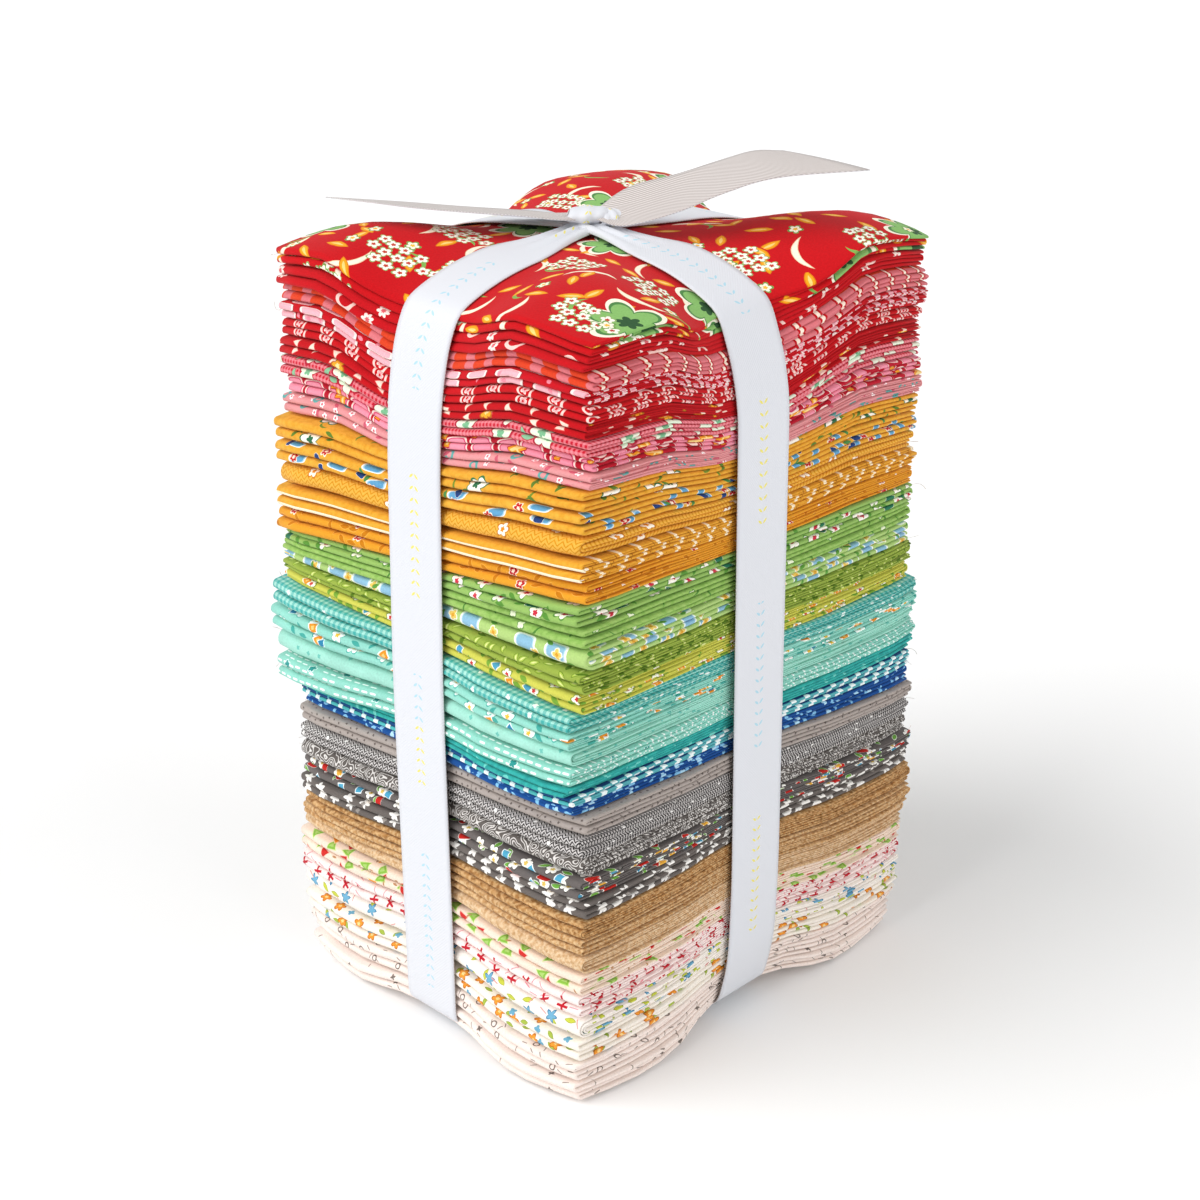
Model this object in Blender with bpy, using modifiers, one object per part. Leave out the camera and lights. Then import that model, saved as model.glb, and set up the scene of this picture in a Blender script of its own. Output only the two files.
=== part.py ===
"""Fat quarter bundle: forty folded pieces of printed cotton, stacked and tied crosswise with a ribbon.

Each fat quarter is a strip of four plies folded back and forth into four passes, so a section
across the stack shows its folds. The ribbon goes round the bundle both ways and is knotted on top.
Metres, +Z up. The origin is under the middle of the bundle, on the surface that it stands on.
The long side of a folded piece runs along Y. Its folds show on the -Y side and its layers on +X.
"""

import math
import random
from collections import namedtuple

import bmesh
import bpy
from mathutils import Vector

MM = 0.001

# Folded fat quarters and their stack
FOLD_WIDTH = 115.0 * MM
FOLD_DEPTH = 134.0 * MM
HALF_WIDTH = FOLD_WIDTH / 2
HALF_DEPTH = FOLD_DEPTH / 2
SHEET = 1.0 * MM
LAYER_GAP = 0.13 * MM
PIECE_GAP = 0.36 * MM
UNEVEN_GAP = 0.52 * MM
PASSES = 4
LEAST_PITCH = PASSES * SHEET + (PASSES - 1) * LAYER_GAP + PIECE_GAP
CORNER_BOTTOM = 2.5 * MM
CORNER_TOP = 208.7 * MM

# Ribbon
RIBBON_WIDTH = 19.5 * MM
RIBBON_SHEET = 1.0 * MM
RIBBON_X = -1.0 * MM
RIBBON_Y = -4.5 * MM
RIBBON_BED = 12.0 * MM
RIBBON_CLEARANCE = 0.35 * MM
CROSSING_STEP = 0.45 * MM
RIBBON_PRESS = 2.0 * MM

# Heights of the top cloth where the ribbon presses it, from the top of the corners
TOP_CENTRE = 3.0 * MM
TOP_EDGE = {"west": -8.0 * MM, "east": -10.0 * MM, "south": -6.0 * MM, "north": -8.0 * MM}
# Heights of the bottom cloth where the ribbon lifts it, from the surface
BOTTOM_CENTRE = 4.0 * MM
BOTTOM_EDGE = {"west": 6.0 * MM, "east": 5.0 * MM, "south": 6.0 * MM, "north": 6.0 * MM}

# How far the ribbon draws in the pieces next to the top and the bottom, outermost piece first
TOP_DRAWN_IN = (5.0 * MM, 3.5 * MM, 2.2 * MM, 1.2 * MM, 0.5 * MM)
BOTTOM_DRAWN_IN = (3.0 * MM, 1.5 * MM, 0.6 * MM)

# Pillows between the ribbon's arms on the top pieces, above the straight slopes
PILLOW_PIECES = 4
PILLOW_ARM = {"west": 5.0 * MM, "east": 7.0 * MM, "south": 4.0 * MM, "north": 5.0 * MM}
PillowRow = namedtuple("PillowRow", "side_x side_y crest edge_x edge_y")
PILLOWS = (
    PillowRow("west", "south", 5.5 * MM, 2.0 * MM, 2.5 * MM),
    PillowRow("east", "south", 5.0 * MM, 1.0 * MM, 1.5 * MM),
    PillowRow("east", "north", 5.5 * MM, 4.0 * MM, 2.5 * MM),
    PillowRow("west", "north", 6.0 * MM, 2.5 * MM, 2.5 * MM),
)
PILLOW_SPLIT = (0.5,)
FOOT_SPLIT = (0.3, 0.7)
FOOT_EDGE_SHARE = 0.5

# Folds
TURN_DEPTH = 1.1 * MM
TURN_INSET = TURN_DEPTH + SHEET / 2
WIDE_TURN_CORNER = 0.9 * MM
NESTED_TURN_DEPTH = 0.6 * MM
NEST_GAP = 0.15 * MM

# Unevenness of the stack's sides
OUT_MOST = 2.5 * MM
OUT_SPREAD = 0.5 * MM
FAR_OUT_SPREAD = 1.6 * MM
SIDE_SEED = 12

# Slack is the room that a colour group takes beyond its tightest stack, at three corners, in mm.
# Out is how far its corners stand out, in mm. The near corner's skew moves it towards +X and +Y.
GroupRow = namedtuple(
    "GroupRow", "name slack_left slack_near slack_right out_left near_skew out_right"
)
GROUPS = (
    GroupRow("red", 0.9, 0.3, 0.4, -1.9, 1.4, -0.4),
    GroupRow("pink", 2.4, 0.2, 1.5, -1.8, 1.4, -0.5),
    GroupRow("gold", 9.0, 6.1, 2.4, 0.2, 0.4, -0.7),
    GroupRow("green", 0.5, 6.5, 5.5, 0.0, 0.0, -0.3),
    GroupRow("aqua", 11.0, 0.8, 0.4, 2.6, -1.4, 1.3),
    GroupRow("blue", 0.4, 0.3, 1.0, -2.2, -2.4, 1.4),
    GroupRow("grey", 4.0, 6.9, 3.2, -1.2, 0.2, 1.8),
    GroupRow("tan", 0.4, 2.2, 5.5, -1.2, 0.0, 2.6),
    GroupRow("cream", 11.6, 12.2, 5.3, 0.0, 0.0, 0.3),
)

# Top to bottom. A double fold shows two turns on the -Y side and a book fold shows one wide turn.
QuarterRow = namedtuple("QuarterRow", "name group fold colour")
QUARTERS = (
    QuarterRow("red_garden", "red", "double", (0.62, 0.01, 0.02)),
    QuarterRow("red_fans", "red", "double", (0.62, 0.02, 0.03)),
    QuarterRow("red_checks", "red", "double", (0.66, 0.08, 0.06)),
    QuarterRow("red_bricks", "red", "double", (0.75, 0.35, 0.38)),
    QuarterRow("red_rings", "red", "double", (0.62, 0.08, 0.08)),
    QuarterRow("red_triangles", "red", "double", (0.60, 0.03, 0.03)),
    QuarterRow("pink_basket", "pink", "double", (0.68, 0.18, 0.22)),
    QuarterRow("pink_patches", "pink", "double", (0.70, 0.12, 0.18)),
    QuarterRow("pink_sprigs", "pink", "double", (0.80, 0.42, 0.45)),
    QuarterRow("gold_sprigs", "gold", "double", (0.72, 0.38, 0.05)),
    QuarterRow("gold_blocks", "gold", "double", (0.70, 0.36, 0.06)),
    QuarterRow("gold_zigzag", "gold", "book", (0.72, 0.33, 0.06)),
    QuarterRow("gold_stripe", "gold", "double", (0.74, 0.40, 0.10)),
    QuarterRow("gold_leaves", "gold", "double", (0.66, 0.30, 0.04)),
    QuarterRow("green_blossom", "green", "double", (0.24, 0.42, 0.08)),
    QuarterRow("green_stems", "green", "double", (0.25, 0.42, 0.09)),
    QuarterRow("green_patches", "green", "book", (0.32, 0.48, 0.14)),
    QuarterRow("green_leaves", "green", "double", (0.28, 0.40, 0.07)),
    QuarterRow("citron_dots", "green", "double", (0.42, 0.48, 0.12)),
    QuarterRow("aqua_gingham", "aqua", "double", (0.12, 0.48, 0.44)),
    QuarterRow("aqua_blossom", "aqua", "double", (0.18, 0.52, 0.48)),
    QuarterRow("aqua_plain", "aqua", "book", (0.26, 0.60, 0.54)),
    QuarterRow("aqua_dashes", "aqua", "double", (0.30, 0.62, 0.55)),
    QuarterRow("teal_plain", "blue", "double", (0.06, 0.34, 0.38)),
    QuarterRow("navy_plaid", "blue", "double", (0.03, 0.12, 0.26)),
    QuarterRow("royal_leaves", "blue", "book", (0.03, 0.13, 0.32)),
    QuarterRow("grey_pin_dots", "grey", "double", (0.36, 0.33, 0.31)),
    QuarterRow("grey_zigzag", "grey", "double", (0.30, 0.29, 0.28)),
    QuarterRow("grey_scroll", "grey", "book", (0.13, 0.12, 0.12)),
    QuarterRow("charcoal_blossom", "grey", "double", (0.10, 0.10, 0.10)),
    QuarterRow("charcoal_stars", "grey", "double", (0.12, 0.11, 0.10)),
    QuarterRow("tan_dark", "tan", "double", (0.36, 0.23, 0.13)),
    QuarterRow("tan_mottled", "tan", "double", (0.44, 0.29, 0.17)),
    QuarterRow("tan_light", "tan", "book", (0.52, 0.36, 0.23)),
    QuarterRow("cream_triangles", "cream", "double", (0.78, 0.68, 0.56)),
    QuarterRow("cream_crosses", "cream", "double", (0.80, 0.68, 0.62)),
    QuarterRow("white_stars", "cream", "book", (0.82, 0.78, 0.74)),
    QuarterRow("white_posies", "cream", "double", (0.82, 0.78, 0.72)),
    QuarterRow("cream_marks", "cream", "double", (0.80, 0.72, 0.66)),
    QuarterRow("cream_under", "cream", "double", (0.80, 0.73, 0.67)),
)
PIECES = len(QUARTERS)

# Knot and tails. A row is a section across a tail, in mm and degrees. Its runs are the level
# distances of its two edges from the knot towards the right, seen from the corner between -Y and
# +X. far_by is how far its middle lies behind the knot and tilt is the rise of its far edge.
VIEW_TURN = math.radians(44.0)
KNOT_HEIGHT = 217.6 * MM
KNOT_RADII = (8.0 * MM, 6.5 * MM, 4.4 * MM)
KNOT_SIDES = 10
KNOT_RINGS = 6
TailRow = namedtuple("TailRow", "near_run far_run height far_by tilt width")
LEFT_TAIL = (
    TailRow(-1.0, -1.0, 217.6, 0.0, 0.0, 8.0),
    TailRow(-9.0, -9.0, 217.9, 0.5, -6.0, 13.0),
    TailRow(-18.0, -18.0, 218.6, 1.5, -10.0, 18.0),
    TailRow(-32.0, -32.0, 219.6, 2.5, -11.5, 19.0),
    TailRow(-44.0, -46.0, 220.6, 3.5, -11.5, 19.0),
    TailRow(-54.0, -63.0, 221.4, 4.5, -11.5, 19.0),
)
RIGHT_TAIL = (
    TailRow(1.0, 1.0, 218.0, 0.0, 0.0, 8.0),
    TailRow(7.0, 7.0, 219.6, 0.0, 24.0, 14.0),
    TailRow(14.0, 13.5, 221.2, 0.0, 20.0, 18.5),
    TailRow(24.0, 23.5, 223.2, 0.0, 16.0, 19.0),
    TailRow(34.0, 33.5, 226.2, 0.0, 13.0, 19.0),
    TailRow(45.0, 42.0, 228.6, 0.0, 11.0, 19.0),
    TailRow(64.0, 47.5, 229.4, -1.0, 4.0, 17.0),
)
TAIL_SHEET = 1.0 * MM
RIBBON_COLOUR = (0.86, 0.86, 0.88)


def mix(low, high, share):
    return low + (high - low) * share


def bed_stations(half, middle):
    """Edge, ribbon's bed and edge: the four stations that every piece shares along one side."""
    return [-half, middle - RIBBON_BED, middle + RIBBON_BED, half]


def split_stations(stations, shares):
    """Split the two outer spans. Shares run from the ribbon's bed to the edge."""
    low_edge, low_bed, high_bed, high_edge = stations
    low = [mix(low_bed, low_edge, share) for share in reversed(shares)]
    high = [mix(high_bed, high_edge, share) for share in shares]
    return [low_edge] + low + [low_bed, high_bed] + high + [high_edge]


BED_X = bed_stations(HALF_WIDTH - RIBBON_PRESS, RIBBON_X)
BED_Y = bed_stations(HALF_DEPTH - RIBBON_PRESS - TURN_INSET, RIBBON_Y)


def span_of(stations, place):
    """Index of the span that holds a place. The end spans also serve what lies past them."""
    index = 0
    while index < len(stations) - 2 and place > stations[index + 1]:
        index += 1
    return index


def side_of_bed(middle, place):
    """-1, 0 or 1 for a place below, on or above the ribbon's bed."""
    if abs(place - middle) <= RIBBON_BED:
        return 0
    return math.copysign(1, place - middle)


def rising_diagonal(x, y):
    """Whether the cell at (x, y) is split along the line from its low corner to its high one.

    Between the ribbon's arms the split runs from arm to arm, so that every piece folds on the same
    lines wherever its corners stand.
    """
    return side_of_bed(RIBBON_X, x) * side_of_bed(RIBBON_Y, y) < 0


def on_triangles(xs, ys, corner_height, x, y):
    """Height at (x, y) on the flat triangles between a grid of stations."""
    i = span_of(xs, x)
    j = span_of(ys, y)
    u = (x - xs[i]) / (xs[i + 1] - xs[i])
    v = (y - ys[j]) / (ys[j + 1] - ys[j])
    low_low = corner_height(i, j)
    high_low = corner_height(i + 1, j)
    low_high = corner_height(i, j + 1)
    high_high = corner_height(i + 1, j + 1)
    middle_x = (xs[i] + xs[i + 1]) / 2
    middle_y = (ys[j] + ys[j + 1]) / 2
    if rising_diagonal(middle_x, middle_y):
        if u >= v:
            return low_low + u * (high_low - low_low) + v * (high_high - high_low)
        return low_low + v * (low_high - low_low) + u * (high_high - low_high)
    if u + v <= 1:
        return low_low + u * (high_low - low_low) + v * (low_high - low_low)
    return high_high + (1 - u) * (low_high - high_high) + (1 - v) * (high_low - high_high)


def edge_name(i, j):
    """Side of the stack on which a shared station lies, or None over the crossing of the beds."""
    if i in (1, 2) and j in (1, 2):
        return None
    if i in (1, 2):
        return "south" if j == 0 else "north"
    return "west" if i == 0 else "east"


def is_corner(i, j):
    return i in (0, 3) and j in (0, 3)


def column_top(i, j):
    if is_corner(i, j):
        return CORNER_TOP
    side = edge_name(i, j)
    return CORNER_TOP + (TOP_CENTRE if side is None else TOP_EDGE[side])


def column_bottom(i, j):
    if is_corner(i, j):
        return CORNER_BOTTOM
    side = edge_name(i, j)
    return BOTTOM_CENTRE if side is None else BOTTOM_EDGE[side]


def slack_weights(i, j):
    """Share of the stack's spare height that each piece takes at one station, bottom piece first."""
    across = (BED_X[i] - BED_X[0]) / (BED_X[-1] - BED_X[0])
    along = (BED_Y[j] - BED_Y[0]) / (BED_Y[-1] - BED_Y[0])
    counts = {row.name: sum(q.group == row.name for q in QUARTERS) for row in GROUPS}
    rows = {row.name: row for row in GROUPS}
    weights = []
    for quarter in reversed(QUARTERS):
        row = rows[quarter.group]
        far = (row.slack_left + row.slack_right) / 2
        front = mix(row.slack_left, row.slack_near, across)
        back = mix(far, row.slack_right, across)
        weights.append(mix(front, back, along) / counts[row.name])
    total = sum(weights)
    return [weight / total for weight in weights]


def shared_heights():
    """Height of every boundary between pieces, at the shared stations."""
    heights = {}
    for i in range(len(BED_X)):
        for j in range(len(BED_Y)):
            bottom = column_bottom(i, j)
            spare = column_top(i, j) - bottom - PIECES * LEAST_PITCH
            level = bottom
            heights[0, i, j] = level
            for index, weight in enumerate(slack_weights(i, j)):
                level += LEAST_PITCH + weight * spare
                heights[index + 1, i, j] = level
    return heights


HEIGHTS = shared_heights()


def shared_height(boundary, x, y):
    return on_triangles(BED_X, BED_Y, lambda i, j: HEIGHTS[boundary, i, j], x, y)


def outer_share(stations, index):
    """0 on the ribbon's bed, 1 at an edge, and between them the share of the way out."""
    low_bed = len(stations) // 2 - 1
    high_bed = low_bed + 1
    place = stations[index]
    if index <= low_bed:
        return (stations[low_bed] - place) / (stations[low_bed] - stations[0])
    return (place - stations[high_bed]) / (stations[-1] - stations[high_bed])


def pillow_rise(xs, ys, i, j):
    """How far the top pieces swell above the straight slopes at one of their own stations."""
    out_x = outer_share(xs, i)
    out_y = outer_share(ys, j)
    side_x = "west" if i < len(xs) / 2 else "east"
    side_y = "south" if j < len(ys) / 2 else "north"
    row = next(p for p in PILLOWS if (p.side_x, p.side_y) == (side_x, side_y))
    inner_x = 0 < out_x < 1
    inner_y = 0 < out_y < 1
    if inner_x and inner_y:
        return row.crest
    if inner_x:
        return PILLOW_ARM[side_x] if out_y == 0 else row.edge_y
    if inner_y:
        return PILLOW_ARM[side_y] if out_x == 0 else row.edge_x
    return 0.0


def foot_share(xs, ys, i, j):
    """Share of the straight slope's height that the lowest cloth keeps at one of its stations."""
    out_x = outer_share(xs, i)
    out_y = outer_share(ys, j)
    if out_x == 0 or out_y == 0 or (out_x == 1 and out_y == 1):
        return 1.0
    return FOOT_EDGE_SHARE if out_x == 1 or out_y == 1 else 0.0


def gap_at(boundary):
    """Gap between two pieces. It is wider where a finely folded piece lies on a coarser one."""
    if boundary in (0, PIECES):
        return 0.0
    if boundary == 1 or boundary >= PIECES - PILLOW_PIECES:
        return UNEVEN_GAP
    return PIECE_GAP


class Boundary:
    """The surface between two pieces, on one piece's own stations."""

    def __init__(self, number, shares):
        self.number = number
        self.xs = split_stations(BED_X, shares) if shares else BED_X
        self.ys = split_stations(BED_Y, shares) if shares else BED_Y
        self.heights = {}
        for i, x in enumerate(self.xs):
            for j, y in enumerate(self.ys):
                self.heights[i, j] = self.station_height(i, j, x, y)

    def station_height(self, i, j, x, y):
        height = shared_height(self.number, x, y)
        if len(self.xs) == len(BED_X):
            return height
        if self.number == 0:
            return height * foot_share(self.xs, self.ys, i, j)
        above = self.number - (PIECES - PILLOW_PIECES)
        if above > 0:
            height += pillow_rise(self.xs, self.ys, i, j) * above / PILLOW_PIECES
        return height

    def height(self, x, y):
        return on_triangles(self.xs, self.ys, lambda i, j: self.heights[i, j], x, y)


def drawn_in(number):
    """How far the ribbon draws in a piece, counted from 1 at the bottom."""
    from_top = PIECES - number
    if from_top < len(TOP_DRAWN_IN):
        return TOP_DRAWN_IN[from_top]
    if number <= len(BOTTOM_DRAWN_IN):
        return BOTTOM_DRAWN_IN[number - 1]
    return 0.0


class Outline:
    """Plan outline of one piece: its corners stand out or in, and the ribbon draws in the middles."""

    def __init__(self, number, row, dice):
        def uneven(out):
            spread = dice.uniform(-OUT_SPREAD, OUT_SPREAD)
            return max(-OUT_MOST, min(OUT_MOST, out * MM + spread))

        left = uneven(row.out_left)
        right = uneven(row.out_right)
        skew = uneven(row.near_skew)
        far_x = dice.uniform(-FAR_OUT_SPREAD, FAR_OUT_SPREAD)
        far_y = dice.uniform(-FAR_OUT_SPREAD, FAR_OUT_SPREAD)
        middle = -RIBBON_PRESS - drawn_in(number)
        self.sides = {
            "west": (BED_Y, (left, middle, middle, far_x)),
            "east": (BED_Y, (skew, middle, middle, right)),
            "south": (BED_X, (left, middle, middle, -skew)),
            "north": (BED_X, (far_y, middle, middle, right)),
        }

    def out(self, side, along):
        stations, values = self.sides[side]
        index = span_of(stations, along)
        share = (along - stations[index]) / (stations[index + 1] - stations[index])
        return mix(values[index], values[index + 1], min(1.0, max(0.0, share)))

    def place_x(self, xs, index, y):
        if index == 0:
            return -HALF_WIDTH - self.out("west", y)
        if index == len(xs) - 1:
            return HALF_WIDTH + self.out("east", y)
        return xs[index]


class FoldedQuarter:
    """One fat quarter: a strip folded back and forth between the surfaces below and above it."""

    def __init__(self, number, shares, outline):
        self.below = Boundary(number - 1, shares)
        self.above = Boundary(number, shares)
        self.gap_below = gap_at(number - 1) / 2
        self.gap_above = gap_at(number) / 2
        self.xs = self.below.xs
        self.ys = self.below.ys
        self.outline = outline

    def level(self, layer, x, y):
        """Middle of a layer's sheet, counted from 0 at the bottom."""
        low = self.below.height(x, y) + self.gap_below + SHEET / 2
        high = self.above.height(x, y) - self.gap_above - SHEET / 2
        return mix(low, high, layer / (PASSES - 1))

    def run_point(self, column, layer, y):
        x = self.outline.place_x(self.xs, column, y)
        return Vector((x, y, self.level(layer, x, y)))

    def side_y(self, column, side):
        """Outer face of the fold or of the free edge on the -Y or +Y side."""
        x = self.xs[column]
        if side == "south":
            return -HALF_DEPTH - self.outline.out("south", x)
        return HALF_DEPTH + self.outline.out("north", x)

    def pass_rows(self, layer, going, start_inset, end_inset):
        """Rows of points along one pass. An inset is the depth of the turn at that end."""
        inner = self.ys[1:-1]
        if going == "south":
            inner = list(reversed(inner))
        ends = ("south", "north") if going == "north" else ("north", "south")
        rows = [self.end_row(layer, ends[0], start_inset)]
        for y in inner:
            rows.append([self.run_point(c, layer, y) for c in range(len(self.xs))])
        rows.append(self.end_row(layer, ends[1], end_inset))
        return rows

    def end_row(self, layer, side, inset):
        inward = 1 if side == "south" else -1
        columns = range(len(self.xs))
        return [self.run_point(c, layer, self.side_y(c, side) + inward * inset) for c in columns]

    def turn_rows(self, layer_from, layer_to, side, inset=0.0, depth=TURN_DEPTH, corner=None):
        """Rows round a turn. A wide turn has two corners and a narrow one a single tip."""
        inward = 1 if side == "south" else -1
        tip_row = []
        far_row = []
        for column in range(len(self.xs)):
            y = self.side_y(column, side) + inward * (inset + SHEET / 2)
            start = self.run_point(column, layer_from, y + inward * depth)
            end = self.run_point(column, layer_to, y + inward * depth)
            x = self.outline.place_x(self.xs, column, y)
            if corner is None:
                tip_row.append(Vector((x, y, (start.z + end.z) / 2)))
            else:
                step = math.copysign(corner, end.z - start.z)
                tip_row.append(Vector((x, y, start.z + step)))
                far_row.append(Vector((x, y, end.z - step)))
        return [tip_row] if corner is None else [tip_row, far_row]

    def double_fold(self):
        rows = self.pass_rows(0, "south", TURN_INSET, TURN_INSET)
        rows += self.turn_rows(0, 1, "south")
        rows += self.pass_rows(1, "north", TURN_INSET, TURN_INSET)
        rows += self.turn_rows(1, 2, "north")
        rows += self.pass_rows(2, "south", TURN_INSET, TURN_INSET)
        rows += self.turn_rows(2, 3, "south")
        rows += self.pass_rows(3, "north", TURN_INSET, TURN_INSET)
        return rows

    def book_fold(self):
        tip_inset = SHEET + NEST_GAP
        nested_inset = tip_inset + SHEET / 2 + NESTED_TURN_DEPTH
        rows = self.pass_rows(0, "south", TURN_INSET, TURN_INSET)
        rows += self.turn_rows(0, 3, "south", corner=WIDE_TURN_CORNER)
        rows += self.pass_rows(3, "north", TURN_INSET, TURN_INSET)
        rows += self.turn_rows(3, 2, "north")
        rows += self.pass_rows(2, "south", TURN_INSET, nested_inset)
        rows += self.turn_rows(2, 1, "south", tip_inset, NESTED_TURN_DEPTH)
        rows += self.pass_rows(1, "north", nested_inset, TURN_INSET)
        return rows


def strip_mesh(name, rows):
    """Sheet through rows of points, cut into triangles that lie the same way in every layer."""
    mesh = bpy.data.meshes.new(name)
    sheet = bmesh.new()
    grid = [[sheet.verts.new(point) for point in row] for row in rows]
    for first, second in zip(grid, grid[1:]):
        for left in range(len(first) - 1):
            a, b = first[left], first[left + 1]
            c, d = second[left + 1], second[left]
            middle = (a.co + b.co + c.co + d.co) / 4
            along_first = rising_diagonal(middle.x, middle.y) == (d.co.y > a.co.y)
            if along_first:
                sheet.faces.new((a, b, c))
                sheet.faces.new((a, c, d))
            else:
                sheet.faces.new((a, b, d))
                sheet.faces.new((b, c, d))
    sheet.to_mesh(mesh)
    sheet.free()
    return mesh


def add_solidify(target, thickness):
    wall = target.modifiers.new("Cloth", "SOLIDIFY")
    wall.thickness = thickness
    wall.offset = 0.0


def plain_material(name, colour, roughness):
    material = bpy.data.materials.new(name)
    material.use_nodes = True
    shader = material.node_tree.nodes["Principled BSDF"]
    shader.inputs["Base Color"].default_value = (*colour, 1.0)
    shader.inputs["Roughness"].default_value = roughness
    shader.inputs["Metallic"].default_value = 0.0
    return material


def build_quarters(collection):
    rows = {row.name: row for row in GROUPS}
    dice = random.Random(SIDE_SEED)
    for index, quarter in enumerate(reversed(QUARTERS)):
        number = index + 1
        shares = ()
        if number == 1:
            shares = FOOT_SPLIT
        elif number > PIECES - PILLOW_PIECES:
            shares = PILLOW_SPLIT
        outline = Outline(number, rows[quarter.group], dice)
        folded = FoldedQuarter(number, shares, outline)
        path = folded.double_fold() if quarter.fold == "double" else folded.book_fold()
        piece = bpy.data.objects.new(quarter.name, strip_mesh(quarter.name, path))
        add_solidify(piece, SHEET)
        piece.data.materials.append(plain_material(quarter.name, quarter.colour, 0.85))
        collection.objects.link(piece)


def ribbon_section(axis):
    """Outline of the stack under one band: places along the band's axis and heights, in order."""
    top = Boundary(PIECES, PILLOW_SPLIT)
    along_x = axis == "x"
    stations = top.xs if along_x else top.ys
    beds = BED_X if along_x else BED_Y
    half = HALF_WIDTH if along_x else HALF_DEPTH

    def spot(place):
        return (place, RIBBON_Y) if along_x else (RIBBON_X, place)

    def surface_height(number, x, y):
        return top.height(x, y) if number == PIECES else shared_height(number, x, y)

    def side_points(sign):
        points = []
        for number in range(PIECES, PIECES - len(TOP_DRAWN_IN) - 1, -1):
            place = sign * (half - RIBBON_PRESS - drawn_in(number))
            points.append((place, surface_height(number, *spot(place))))
        for number in range(len(BOTTOM_DRAWN_IN) + 1, 0, -1):
            place = sign * (half - RIBBON_PRESS - drawn_in(number))
            points.append((place, shared_height(number - 1, *spot(place))))
        return points

    crown = [(place, top.height(*spot(place))) for place in stations[1:-1]]
    sole = [(place, shared_height(0, *spot(place))) for place in (beds[2], beds[1])]
    return crown + side_points(1) + sole + list(reversed(side_points(-1)))


def offset_loop(points, distance):
    """Move a closed convex outline outwards by one distance, with mitred corners."""
    moved = []
    count = len(points)
    for index in range(count):
        before = Vector(points[index - 1])
        here = Vector(points[index])
        after = Vector(points[(index + 1) % count])
        first = (here - before).normalized()
        second = (after - here).normalized()
        normal_first = Vector((-first.y, first.x))
        normal_second = Vector((-second.y, second.x))
        mitre = (normal_first + normal_second).normalized()
        moved.append(here + mitre * (distance / mitre.dot(normal_first)))
    return moved


def band_object(name, axis, step_out):
    """One closed band of the ribbon round the stack."""
    outline = offset_loop(ribbon_section(axis), RIBBON_CLEARANCE + step_out + RIBBON_SHEET / 2)
    mesh = bpy.data.meshes.new(name)
    band = bmesh.new()
    edges = []
    for place, height in outline:
        pair = []
        for side in (-1, 1):
            across = side * RIBBON_WIDTH / 2
            point = (place, RIBBON_Y + across, height)
            if axis == "y":
                point = (RIBBON_X - across, place, height)
            pair.append(band.verts.new(point))
        edges.append(pair)
    for index, pair in enumerate(edges):
        following = edges[(index + 1) % len(edges)]
        band.faces.new((pair[0], pair[1], following[1], following[0]))
    bmesh.ops.recalc_face_normals(band, faces=band.faces)
    band.to_mesh(mesh)
    band.free()
    loop = bpy.data.objects.new(name, mesh)
    add_solidify(loop, RIBBON_SHEET)
    return loop


def tail_object(name, rows):
    """A free tail of the ribbon, from inside the knot to its slanted end."""
    right = Vector((math.cos(VIEW_TURN), math.sin(VIEW_TURN), 0.0))
    away = Vector((-math.sin(VIEW_TURN), math.cos(VIEW_TURN), 0.0))
    knot = Vector((RIBBON_X, RIBBON_Y, 0.0))
    mesh = bpy.data.meshes.new(name)
    tail = bmesh.new()
    pairs = []
    for row in rows:
        tilt = math.radians(row.tilt)
        half = away * math.cos(tilt) + Vector((0.0, 0.0, math.sin(tilt)))
        half *= row.width * MM / 2
        middle = knot + away * row.far_by * MM + Vector((0.0, 0.0, row.height * MM))
        near_edge = middle + right * row.near_run * MM - half
        far_edge = middle + right * row.far_run * MM + half
        pairs.append((tail.verts.new(near_edge), tail.verts.new(far_edge)))
    for first, second in zip(pairs, pairs[1:]):
        tail.faces.new((first[0], second[0], second[1], first[1]))
    tail.to_mesh(mesh)
    tail.free()
    strip = bpy.data.objects.new(name, mesh)
    add_solidify(strip, TAIL_SHEET)
    return strip


def knot_object():
    bpy.ops.mesh.primitive_uv_sphere_add(segments=KNOT_SIDES, ring_count=KNOT_RINGS, radius=1.0)
    knot = bpy.context.object
    knot.name = "knot_shape"
    for vertex in knot.data.vertices:
        vertex.co = Vector(a * b for a, b in zip(vertex.co, KNOT_RADII))
    knot.rotation_euler.z = VIEW_TURN
    knot.location = (RIBBON_X, RIBBON_Y, KNOT_HEIGHT)
    return knot


def build_ribbon(collection, joined):
    ribbon = band_object("ribbon", "y", 0.0)
    ribbon.data.materials.append(plain_material("ribbon", RIBBON_COLOUR, 0.6))
    collection.objects.link(ribbon)
    knot = knot_object()
    for holder in list(knot.users_collection):
        holder.objects.unlink(knot)
    shapes = [band_object("cross_band", "x", CROSSING_STEP), knot]
    shapes += [tail_object("left_tail", LEFT_TAIL), tail_object("right_tail", RIGHT_TAIL)]
    for shape in shapes:
        joined.objects.link(shape)
        shape.hide_render = True
        shape.display_type = "WIRE"
        union = ribbon.modifiers.new(shape.name, "BOOLEAN")
        union.operation = "UNION"
        union.object = shape


def build():
    for existing in list(bpy.data.objects):
        bpy.data.objects.remove(existing, do_unlink=True)
    collection = bpy.data.collections.new("fat_quarter_bundle")
    joined = bpy.data.collections.new("joined_shapes")
    bpy.context.scene.collection.children.link(collection)
    bpy.context.scene.collection.children.link(joined)
    build_quarters(collection)
    build_ribbon(collection, joined)


build()
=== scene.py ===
import math
import random
from collections import namedtuple

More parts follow.
